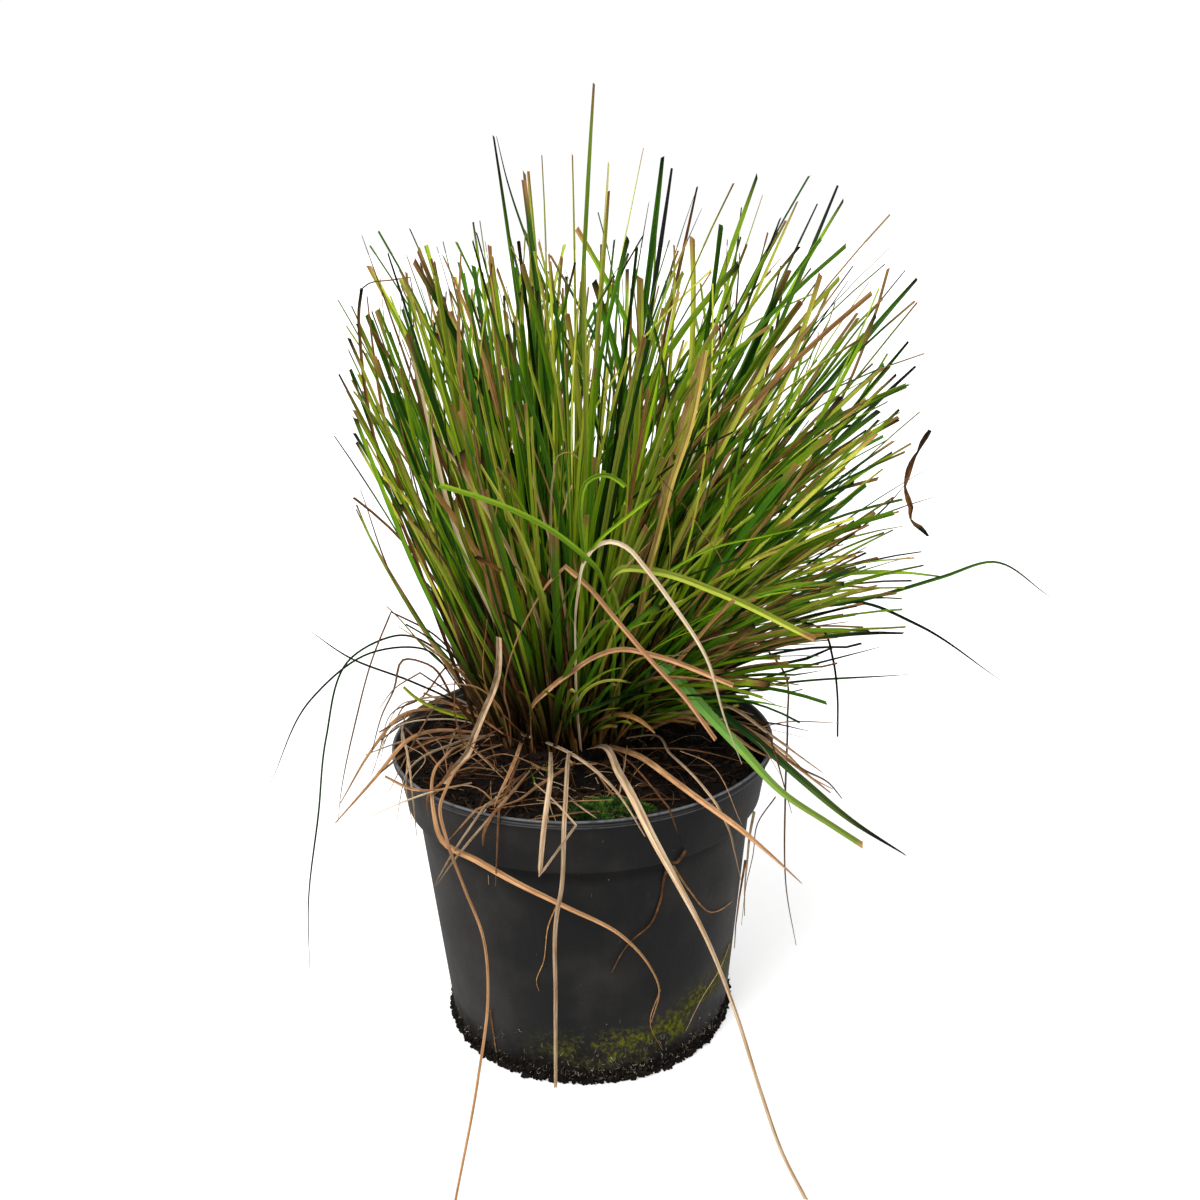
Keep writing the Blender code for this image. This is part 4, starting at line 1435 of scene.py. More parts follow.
@dataclass
class Tuft:
    """One shoot of the clump: its leading blades on the solid's own lines, and the fill between them."""

    number: int
    root: Points
    fan: Fan
    led: list[tuple[Points, float, float, Look]] = field(default_factory=list)
    led_limit: int = 4
    leading: int = 8
    fill: int = 17
    fill_to_right: float = 0.78
    fill_in_middle: int = 4
    middle_radius: float = 20 * MM
    low_fill: int = 44
    belly: float = -11 * MM
    sheath_leaves: int = 7
    old_stems: int = 12
    dead_share: float = 0.28
    root_spread: float = 2.5 * MM
    tip_spread: float = 5.0 * MM
    fill_root_spread: float = 6.5 * MM
    fill_tip_spread: float = 19.0 * MM
    crossing_spread: float = 36.0 * MM
    crossing_share: float = 0.3
    broad_share: float = 0.36
    broad_to_right: float = 0.14
    shears: float = 383 * MM
    shears_to_right: float = 11 * MM
    longest: float = 286 * MM
    steps: int = 16
    seed: int = 19

    def leading_blades(self) -> list[Blade]:
        """Blades on the lines of the shoot's solid, in order around it.

        Returns:
            The blades.
        """
        chance = Random(self.seed * 1000 + self.number)
        turn = chance.uniform(0, tau)
        slots = [(turn + tau * step / self.leading) % tau for step in range(self.leading)]
        lines = []
        for tip_root, run, width, look in self.led:
            offset = tip_root - self.root
            bearing = atan2(offset[1], offset[0]) % tau
            slots.remove(min(slots, key=lambda slot: abs((slot - bearing + pi) % tau - pi)))
            lines.append((bearing, tip_root, run, width, look.value, Tip.NEEDLE if width < 2.0 else Tip.GROWN))
        for bearing in slots:
            tip_root = self.root + heading_of(bearing) * self.tip_spread
            share = chance.uniform(self.fan.spread_shortest, self.fan.spread_longest)
            reach = self.fan.spread_limit(tip_root) * share
            run = min(self.fan.cut_length * chance.uniform(0.80, 1.06), self.fan.run_to_reach(tip_root, reach))
            lines.append((bearing, tip_root, run, None, None, Tip.CUT))
        look_chance = Random(self.seed * 7000 + self.number)
        blades = []
        for bearing, tip_root, run, width, tone, tip in lines:
            start = self.root + heading_of(bearing) * self.root_spread
            width = (width or look_chance.uniform(1.4, 3.2)) * MM
            tone = tone or self.living_tone(look_chance)
            blades.append(self.blade(start, tip_root, run, bearing, width, tone, tip, look_chance, 0.0))
        return blades

    def living_tone(self, chance: Random) -> Tone:
        """Colouring of an ordinary living blade that the shears cut.

        Args:
            chance: source of the draws.

        Returns:
            The colouring.
        """
        tint = min(max(chance.gauss(0.51, 0.3), 0.0), 1.0)
        ink = chance.choice((0.0, 0.0, 0.0, 0.0, 0.0, 0.0012))
        scorch = chance.choice((0.0, 0.0, 0.0, 0.001, 0.0015, 0.003, 0.012))
        return Tone(tint, 0.0, scorch, ink)

    def dead_tone(self, chance: Random) -> Tone:
        """Colouring of a dead blade inside the clump."""
        return Tone(min(max(chance.gauss(0.5, 0.2), 0.05), 1.0), chance.uniform(0.9, 1.0), 0.0,
                    chance.choice((0.0, 0.0, 0.0, 0.006)))

    def fill_blades(self) -> list[Blade]:
        """Blades that fill the tuft: most living, some dead, all cut at the shears' height or shorter.

        Returns:
            The blades.
        """
        chance = Random(self.seed * 3000 + self.number)
        blades = []
        rightness = self.root[0] / self.fan.radius
        extra = self.fill_in_middle if np.hypot(*self.root) < self.middle_radius else 0
        for _ in range(extra + round(self.fill * (1 + self.fill_to_right * rightness))):
            bearing = chance.uniform(0, tau)
            start = self.root + heading_of(bearing) * self.fill_root_spread * sqrt(chance.random())
            other = chance.uniform(0, tau)
            spread = self.crossing_spread if chance.random() < self.crossing_share else self.fill_tip_spread
            end = start + heading_of(other) * spread * sqrt(chance.random())
            level = self.shears + self.shears_to_right * rightness + chance.gauss(-4, 13) * MM
            reach = self.fan.spread_limit(end) * chance.uniform(0.8, 1.02)
            run = min(self.fan.run_to_height(end, level), self.longest * chance.uniform(0.78, 1.0),
                      self.fan.run_to_reach(end, reach))
            if chance.random() < self.dead_share:
                run *= chance.choice((1.0, 1.0, 0.95, 0.8, 0.6))
                width, tone = chance.uniform(1.2, 3.2) * MM, self.dead_tone(chance)
                tip, bow = chance.choice((Tip.CUT, Tip.FRAYED)), 2.4
            elif chance.random() < 0.12:
                run *= chance.uniform(0.96, 1.12)
                width, tone = chance.uniform(1.2, 2.0) * MM, chance.choice((Look.DEEP, Look.GREEN, Look.OLIVE)).value
                tip, bow = Tip.GROWN, 1.2
            else:
                broad = chance.random() < self.broad_share + self.broad_to_right * rightness
                width = (chance.uniform(2.1, 3.6) if broad else chance.uniform(1.0, 2.1)) * MM
                tone, tip, bow = self.living_tone(chance), Tip.CUT, 1.0
            blades.append(self.blade(start, end, run, bearing, width, tone, tip, chance, bow, self.belly * rightness))
        return blades

    def low_blades(self) -> list[Blade]:
        """Blades on the clump's right that lean out far beyond their tuft, down to nearly level.

        Returns:
            The blades.
        """
        chance = Random(self.seed * 4000 + self.number)
        blades = []
        rightness = self.root[0] / self.fan.radius
        for _ in range(round(self.low_fill * min(max(rightness * 1.6, 0.0), 1.0))):
            bearing = atan2(self.root[1], self.root[0]) + chance.gauss(0, 0.5)
            way = heading_of(bearing)
            end = self.root + way * (3 + 27 * chance.random() ** 0.6) * MM
            reach = self.fan.spread_limit(end) * chance.uniform(0.42, 1.03)
            run = min(self.fan.run_to_reach(end, reach), self.longest)
            dead = chance.random() < 0.3
            tone = self.dead_tone(chance) if dead else self.living_tone(chance)
            tip = chance.choice((Tip.CUT, Tip.CUT, Tip.NEEDLE))
            blades.append(self.blade(self.root + way * 2.0 * MM, end, run, bearing, chance.uniform(1.1, 2.4) * MM,
                                     tone, tip, chance, 1.6 if dead else 0.9))
        return blades

    def blade(self, start: Points, end: Points, run: float, bearing: float, width: float, tone: Tone, tip: Tip,
              chance: Random, bow: float, belly: float = 0.0) -> Blade:
        """One blade of the tuft.

        Args:
            start: its root from the crown's centre.
            end: the root whose line its tip lies on.
            run: its length.
            bearing: the side of the tuft that it faces.
            width: its width.
            tone: its colouring.
            tip: how it ends.
            chance: source of its unevenness.
            bow: how much it strays from the fan's line; 0 keeps to it.
            belly: how far it bulges outwards halfway, which leaves its top more upright; not below 0.

        Returns:
            The blade.
        """
        share = np.linspace(0, 1, self.steps)
        path = self.fan.point(start + (end - start) * share[:, None], run * share)
        sideways = np.array((chance.gauss(0, 1), chance.gauss(0, 1), 0.0)) * bow * MM
        waves = np.array((chance.gauss(0, 1), chance.gauss(0, 1), 0.0)) * bow * 0.5 * MM
        path += sideways * (np.sin(pi * share) * 3.2)[:, None]
        path += waves * (np.sin(tau * 1.5 * share) * share)[:, None]
        outwards = unit(np.append(end, 0.0))
        path += outwards * (max(belly, 0.0) * np.sin(pi * share))[:, None]
        headings = unit(np.gradient(path, axis=0))
        spans = unit(np.cross(headings, np.append(heading_of(bearing), 0.0)))
        backs = np.cross(spans, headings)
        angle = chance.gauss(0, 0.5) + chance.gauss(0, 0.7) * share
        spans, backs = turned_by(spans, backs, angle)
        return Blade(path, spans, backs, width, tone, tip, chance.uniform(0.16, 0.38), 0.3 * MM, 0.62,
                     chance.uniform(-0.35, 0.35))

    def sheath_blades(self) -> list[Blade]:
        """Old leaf bases that wrap the foot of the tuft, and dark dead stems among them.

        Returns:
            The blades.
        """
        chance = Random(self.seed * 5000 + self.number)
        blades = []
        for step in range(self.sheath_leaves):
            bearing = tau * step / self.sheath_leaves + chance.uniform(-0.3, 0.3)
            way = heading_of(bearing)
            run = chance.uniform(14, 46) * MM
            tone = Tone(min(max(chance.gauss(0.25, 0.16), 0.0), 0.8), chance.uniform(0.6, 1.0))
            tip = chance.choice((Tip.FRAYED, Tip.GROWN))
            blades.append(self.blade(self.root + way * 3.1 * MM, self.root + way * 4.2 * MM, run, bearing,
                                     chance.uniform(2.0, 3.2) * MM, tone, tip, chance, 0.35))
        for _ in range(self.old_stems):
            bearing = chance.uniform(0, tau)
            way = heading_of(bearing)
            start = self.root + way * chance.uniform(2, 7) * MM
            tone = Tone(chance.uniform(0.0, 0.26), chance.uniform(0.85, 1.0))
            blades.append(self.blade(start, start + way * chance.uniform(0, 4) * MM, chance.uniform(30, 96) * MM,
                                     bearing, chance.uniform(1.4, 2.6) * MM, tone, Tip.FRAYED, chance, 0.5))
        return blades

    def build(self, finish: Material) -> None:
        """Make and dress the tuft."""
        blades = (*self.leading_blades(), *self.fill_blades(), *self.low_blades(), *self.sheath_blades())
        settle(Stock.of(blades).piece(f"tuft_{self.number:02d}", finish), "green_leaf", f"shoot_{self.number:02d}")


@dataclass
class Clump:
    """Every tuft of the plant, and the crown that they stand on."""

    fan: Fan = field(default_factory=Fan)
    crown_radius: float = 44 * MM
    stubble: int = 330
    seed: int = 61

    def tufts(self) -> list[Tuft]:
        """The tufts, each led by the long blades whose roots lie nearest to it.

        Returns:
            The tufts, with their leading blades assigned.
        """
        tufts = [Tuft(index + 1, root, self.fan) for index, root in enumerate(self.fan.shoot_roots())]
        for tip, width, look in LONG_BLADES:
            tip_root, run = self.fan.root_of(np.array(tip) * MM)
            with_room = [tuft for tuft in tufts if len(tuft.led) < tuft.led_limit]
            nearest = min(with_room, key=lambda tuft: np.hypot(*(tuft.root - tip_root)))
            nearest.led.append((tip_root, run, width, look))
        return tufts

    def crown(self, finish: Material) -> None:
        """Mat of cut and rotted shoot bases between the tufts.

        Args:
            finish: the blades' material.
        """
        chance = Random(self.seed)
        stock = Stock()
        for _ in range(self.stubble):
            radius = (self.crown_radius - 1 * MM) * sqrt(chance.random())
            bearing = chance.uniform(0, tau)
            root = heading_of(bearing) * radius
            run = chance.choice((6, 9, 14, 22, 34)) * chance.uniform(0.7, 1.3) * MM
            share = np.linspace(0, 1, 5)
            path = self.fan.point(root + np.zeros((5, 2)), run * share)
            path[:, 2] -= (4.6 * MM) * (1 - share)
            path += np.array((chance.gauss(0, 1), chance.gauss(0, 1), 0)) * share[:, None] * run * 0.2
            spans, backs = frames_facing(path, np.append(heading_of(bearing), 0.05))
            tone = Tone(min(max(chance.gauss(0.16, 0.16), 0.0), 0.7), chance.uniform(0.8, 1.0))
            Blade(path, spans, backs, chance.uniform(1.2, 2.6) * MM, tone, chance.choice((Tip.CUT, Tip.FRAYED)),
                  0.2, 0.5 * MM, 0.9, chance.uniform(-0.5, 0.5)).add_to(stock)
        settle(stock.piece("crown_stubble", finish), "crown")

    def build(self) -> None:
        """Make and dress the crown and its tufts."""
        # Deep painted shade over the lower half of the clump's blades
        finish = BladeFinish("grass_blade", foot_painted_shade=0.84, foot_brown=0.88, brown_reach=0.46,
                             painted_shade_span=0.52).material()
        crown_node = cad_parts["crown"]
        crown_node.material_slots[0].material = CompostFinish("crown_mat", middle=paint(64, 44, 30)).material()
        self.crown(finish)
        for tuft in self.tufts():
            tuft.build(finish)


# Single blades outside the fan


@dataclass(frozen=True)
class Stray:
    """A blade that leaves the fan: node that it stands for, width and route in millimetres, look and tip."""

    name: str
    width: float
    look: Look
    tip: Tip
    route: tuple
    fold: float = 0.14


# Blades that have solids of their own
STRAYS = (
    Stray("dry_blade_to_floor_right", 3.7, Look.STRAW, Tip.TRAILING, ((3, -13, 149), (9, -24, 155), (16, -61, 158),
        (22, -89, 157), (28, -102, 148), (38, -110, 130), (48, -117, 111), (61, -127, 77), (70, -138, 47),
        (79, -146, 20), (88, -152, 2))),
    Stray("dry_blade_to_floor_left", 1.5, Look.TAN, Tip.CUT, ((-40, -5, 149), (-53, -36, 157), (-61, -72, 159),
        (-63, -84, 155), (-61, -84, 140), (-55, -79, 112), (-48, -79, 86), (-47, -84, 60), (-52, -104, 29),
        (-60, -145, 2)), 0.2),
    Stray("dry_blade_across_pot", 2.9, Look.TAN, Tip.WITHERED, ((-49, 4, 149), (-58, -7, 151), (-65, -43, 160),
        (-68, -56, 160), (-68, -70, 156), (-67, -75, 148), (-64, -76, 135), (-49, -80, 127), (-33, -85, 119),
        (-12, -88, 108), (14, -87, 91), (27, -83, 72), (32, -79, 55), (28, -78, 37))),
    Stray("dry_blade_hanging_front", 2.0, Look.STRAW, Tip.CUT, ((-6, -16, 149), (-7, -40, 158), (-8, -80, 160),
        (-9, -100, 154), (-11, -99, 124), (-14, -96, 106), (-16, -88, 60), (-18, -80, 4)), 0.2),
    Stray("dry_blade_folded_front", 2.2, Look.STRAW, Tip.FRAYED, ((-16, -16, 149), (-15, -60, 161), (-15, -96, 168),
        (-17, -104, 158), (-20, -107, 134), (-4, -105, 156), (-11, -97, 161), (-22, -78, 163))),
    Stray("dry_blade_over_rim_right", 3.0, Look.TAN, Tip.NEEDLE, ((13, -11, 149), (27, -40, 156), (39, -68, 158),
        (51, -90, 157), (64, -99, 150), (78, -105, 139), (91, -109, 127))),
    Stray("dry_blade_thin_over_rim", 1.3, Look.STRAW, Tip.NEEDLE, ((22, -2, 149), (33, -6, 152), (41, -40, 157),
        (53, -80, 158), (57, -89, 155), (62, -89, 144), (66, -80, 128), (71, -69, 105))),
    Stray("dry_arch_folded", 2.3, Look.TAN, Tip.CUT, ((-36, -6, 149), (-35, -22, 172), (-36, -34, 189),
        (-31, -48, 212), (-21, -64, 237), (-13, -74, 252), (-5, -82, 262), (5, -85, 253), (13, -87, 243),
        (29, -90, 223), (43, -90, 206), (56, -92, 187)), 0.22),
    Stray("dry_arch_tall", 2.1, Look.BONE, Tip.NEEDLE, ((-1, -15, 149), (-2, -30, 172), (-2, -58, 214), (0, -89, 253),
        (3, -96, 268), (8, -99, 275), (13, -101, 277), (19, -102, 275), (26, -102, 267), (37, -101, 251),
        (51, -100, 227), (59, -97, 199), (67, -93, 176))),
    Stray("dry_arch_low", 2.6, Look.TAN, Tip.CUT, ((-25, -12, 149), (-25, -20, 164), (-24, -28, 177), (-15, -44, 193),
        (-4, -59, 207), (7, -67, 217), (18, -73, 222), (32, -77, 220), (64, -86, 209)), 0.22),
    Stray("dry_blade_right_rim", 2.4, Look.TAN, Tip.FRAYED, ((35, 17, 149), (60, 0, 160), (78, -26, 163),
        (98, -34, 149), (117, -42, 135))),
    Stray("dry_blade_left_rim", 2.0, Look.TAN, Tip.FRAYED, ((-51, 10, 149), (-74, -6, 158), (-86, -28, 161),
        (-98, -36, 149), (-118, -44, 129))),
    Stray("dry_blade_left_rim_behind", 1.8, Look.TAN, Tip.FRAYED, ((-53, 34, 149), (-76, 20, 159), (-92, 0, 163),
        (-105, -6, 149), (-122, -12, 123))),
    Stray("dry_blade_hanging_right", 1.1, Look.BROWN, Tip.FRAYED, ((33, 33, 149), (56, 32, 178), (86, 28, 190),
        (106, 23, 170), (107, 20, 146), (105, 10, 111), (105, 0, 58), (111, 0, 24))),
    Stray("dry_blade_cut_left", 3.4, Look.STRAW, Tip.CUT, ((-66, -42, 147), (-62, -26, 147), (-57, -22, 151),
        (-52, -25, 163), (-46, -31, 178), (-40, -38, 193), (-37, -46, 206), (-36, -50, 221)), 0.2),
    Stray("green_yellow_blade_right", 3.4, Look.LIME, Tip.CUT, ((8, -12, 149), (10, -17, 165), (16, -25, 180),
        (19, -51, 218), (16, -68, 243), (14, -82, 257), (18, -88, 262), (33, -91, 261), (57, -93, 252),
        (96, -96, 232)), 0.25),
    Stray("green_arc_left", 2.4, Look.SAGE, Tip.CUT, ((17, -8, 149), (14, -42, 191), (15, -60, 217), (14, -74, 236),
        (11, -82, 252), (4, -108, 272), (-12, -117, 288), (-28, -123, 298), (-49, -128, 307))),
    Stray("broad_green_blade", 6.4, Look.LEAF, Tip.TAPERED, ((30, 2, 149), (32, -15, 173), (32, -25, 191),
        (35, -32, 201), (41, -38, 198), (54, -48, 185), (71, -63, 169), (87, -79, 155), (106, -91, 145),
        (119, -98, 138)), 0.12),
    Stray("broad_green_blade_behind", 4.0, Look.DEEP, Tip.NEEDLE, ((37, 8, 149), (47, 0, 168), (55, -8, 178),
        (67, -23, 170), (83, -39, 161), (100, -54, 149), (121, -68, 134), (144, -78, 121)), 0.16),
    Stray("green_blade_far_right", 2.2, Look.DEEP, Tip.NEEDLE, ((33, 54, 149), (60, 50, 172), (95, 38, 196),
        (150, 24, 211), (184, 20, 222), (209, 20, 229), (239, 20, 210)), 0.2),
    Stray("dark_arc_left", 1.1, Look.BLACK, Tip.NEEDLE, ((-52, 22, 149), (-63, 8, 178), (-76, -8, 202),
        (-99, -20, 205), (-127, -29, 186), (-150, -32, 144)), 0.2),
    Stray("dark_blade_hanging_left", 1.0, Look.BROWN, Tip.NEEDLE, ((-53, 46, 149), (-76, 30, 197), (-95, 24, 211),
        (-106, 22, 187), (-117, 21, 154), (-129, 20, 109), (-132, 20, 91)), 0.2),
    Stray("dark_blade_left", 1.2, Look.BLACK, Tip.NEEDLE, ((-54, 28, 149), (-66, 16, 165), (-85, 4, 181),
        (-115, 2, 196), (-132, 0, 211)), 0.2),
    Stray("dark_blade_trailing_left", 1.2, Look.BLACK, Tip.NEEDLE, ((-48, 55, 149), (-98, 48, 190), (-121, 44, 180),
        (-136, 32, 139), (-141, 20, 102), (-146, 0, 62), (-147, -10, 23)), 0.2),
    Stray("dark_blade_far_right", 1.8, Look.BLACK, Tip.NEEDLE, ((35, 24, 149), (60, 14, 180), (95, 6, 203),
        (138, 4, 215), (166, 0, 204), (210, 0, 173)), 0.2),
)


# Colours of the dry blades in the open, greyer than those of the dead ones inside the clump
BLEACHED = (
    (0.0, paint(44, 29, 19)), (0.3, paint(137, 92, 56)), (0.65, paint(202, 154, 108)), (1.0, paint(242, 222, 188)))
# Colours of the two broad blades at the right, cooler than those of the clump
BROAD_LEAF_GREENS = (
    (0.0, paint(18, 48, 10)), (0.4, paint(40, 92, 20)), (0.7, paint(104, 156, 62)), (1.0, paint(150, 170, 70)))


@dataclass
class Strays:
    """Builds each blade that leaves the fan, in place of its solid."""

    seed: int = 83

    def build(self) -> None:
        """Make and dress the strays."""
        finishes = {slot: BladeFinish(f"{slot}_blade", dead=BLEACHED).material()
                    for slot in ("dark_leaf", "dry_leaf", "green_leaf")}
        broad = BladeFinish("broad_leaf_blade", living=BROAD_LEAF_GREENS, vein_depth=0.24, ripened=0.75).material()
        for number, stray in enumerate(STRAYS):
            chance = Random(self.seed + number)
            blade = routed_blade(in_metres(stray.route), stray.width * MM, stray.look.value, stray.tip, chance,
                                 stray.fold)
            kind = stray.name.split("_")[0]
            slot = f"{kind}_leaf" if kind in ("dark", "dry") else "green_leaf"
            finish = broad if kind == "broad" else finishes[slot]
            settle(Stock.of((blade,)).piece(f"leaf_{stray.name}", finish, 40.0), slot, stray.name)


@dataclass(frozen=True)
class Loose:
    """A loose blade that shows singly: width and route in millimetres, look, tip and twist."""

    width: float
    look: Look
    route: tuple
    tip: Tip = Tip.FRAYED
    twist: float = 0.0
    fold: float = 0.2


# Dead blades that lie on the compost, hang over the rim or stand beside the clump
LOOSE_STRAWS = (
    Loose(1.6, Look.STRAW, ((-36, 8, 150), (-20, -9, 152), (-5, -33, 155), (10, -66, 157), (19, -93, 156),
        (25, -102, 148))),
    Loose(1.1, Look.STRAW, ((-90, -2, 158), (-80, -50, 156), (-78, -58, 128))),
    # the knot at the front left of the rim
    Loose(1.0, Look.STRAW, ((-33, -64, 153), (-43, -86, 157), (-56, -80, 136), (-73, -50, 97))),
    Loose(1.0, Look.STRAW, ((-25, -42, 152), (-37, -88, 157), (-54, -81, 134), (-72, -50, 97))),
    Loose(1.1, Look.RUSSET, ((-31, -26, 150), (-37, -89, 157), (-41, -82, 115))),
    Loose(1.4, Look.RUSSET, ((-37, -87, 157), (-41, -91, 153), (-44, -90, 146), (-45, -87, 138))),
    Loose(1.9, Look.TAN, ((-30, -2, 151), (-32, -37, 156), (-35, -64, 158), (-38, -82, 158), (-39, -88, 157))),
    Loose(1.6, Look.TAN, ((-91, -54, 157), (-74, -69, 157), (-62, -71, 158), (-54, -72, 160), (-47, -75, 160),
        (-40, -82, 157)), twist=2.0),
    Loose(1.3, Look.TAN, ((-4, -35, 152), (-11, -49, 154), (-21, -65, 155), (-30, -81, 156), (-38, -88, 157))),
    Loose(1.0, Look.RUSSET, ((-27, -44, 152), (-33, -64, 155), (-36, -79, 156), (-38, -86, 157))),
    # left side of the rim
    Loose(1.4, Look.RUSSET, ((-85, 48, 157), (-54, 14, 157), (-39, -10, 157), (-32, -4, 150))),
    Loose(1.1, Look.TAN, ((-94, -47, 156), (-84, -25, 156), (-66, -8, 156), (-50, 2, 151))),
    Loose(1.0, Look.STRAW, ((-99, -15, 158), (-91, 3, 158), (-79, 31, 158), (-60, 38, 152))),
    Loose(1.0, Look.TAN, ((-100, -10, 160), (-84, 17, 160), (-77, 29, 160), (-56, 32, 152))),
    Loose(1.0, Look.RUSSET, ((-89, 2, 157), (-77, -23, 157), (-64, -52, 157))),
    Loose(0.9, Look.STRAW, ((-89, 8, 162), (-90, -1, 157), (-83, -35, 157), (-82, -53, 148), (-80, -55, 134))),
    Loose(1.3, Look.RUSSET, ((-62, -37, 155), (-64, -62, 157), (-70, -70, 154), (-70, -72, 145))),
    Loose(1.0, Look.TAN, ((-27, -53, 154), (-36, -79, 156), (-47, -88, 156), (-64, -66, 128))),
    Loose(1.2, Look.BROWN, ((-50, 4, 150), (-62, -14, 178), (-72, -24, 200), (-84, -20, 201), (-89, -24, 187),
        (-94, -28, 178), (-100, -34, 160))),
    Loose(1.0, Look.BROWN, ((-50, 0, 150), (-62, -16, 180), (-75, -30, 198), (-88, -30, 190), (-95, -30, 181))),
    Loose(0.8, Look.TAN, ((-36, -10, 151), (-42, -18, 178), (-50, -20, 186), (-62, -20, 188), (-76, -20, 186))),
    Loose(0.8, Look.RUSSET, ((-57, -18, 151), (-61, -20, 171), (-60, -20, 194))),
    Loose(1.0, Look.BROWN, ((-50, 22, 150), (-60, 30, 176), (-66, 35, 178), (-83, 30, 162), (-98, 7, 160),
        (-102, 3, 148))),
    # right side of the rim, under the broad blades
    Loose(2.0, Look.TAN, ((24, 8, 150), (29, 2, 169), (35, -4, 173), (48, -12, 173), (59, -18, 164), (65, -22, 156))),
    Loose(1.4, Look.STRAW, ((34, 10, 150), (54, -4, 166), (69, -14, 170), (83, -20, 167))),
    Loose(1.7, Look.STRAW, ((36, 12, 150), (54, -6, 166), (69, -16, 171), (90, -28, 160), (102, -34, 152),
        (113, -40, 145))),
    Loose(1.6, Look.BROWN, ((34, 8, 150), (58, -12, 164), (76, -24, 160), (92, -31, 153), (105, -37, 145),
        (116, -41, 140), (122, -44, 133))),
    Loose(0.9, Look.BROWN, ((38, 12, 150), (68, -10, 163), (84, -16, 163), (94, -20, 162))),
    Loose(2.1, Look.TAN, ((32, 4, 150), (52, -18, 166), (69, -26, 162), (82, -32, 154), (91, -37, 151))),
    Loose(1.7, Look.STRAW, ((34, 6, 150), (53, -10, 167), (71, -22, 165), (96, -33, 153), (109, -38, 141),
        (118, -42, 137))),
    Loose(0.8, Look.BROWN, ((31, -73, 155), (36, -92, 156), (42, -85, 135))),
    Loose(0.9, Look.RUSSET, ((9, -1, 148), (22, -30, 149), (32, -63, 150), (37, -80, 150))),
    Loose(0.8, Look.STRAW, ((-6, -68, 149), (0, -80, 150), (5, -90, 151))),
)

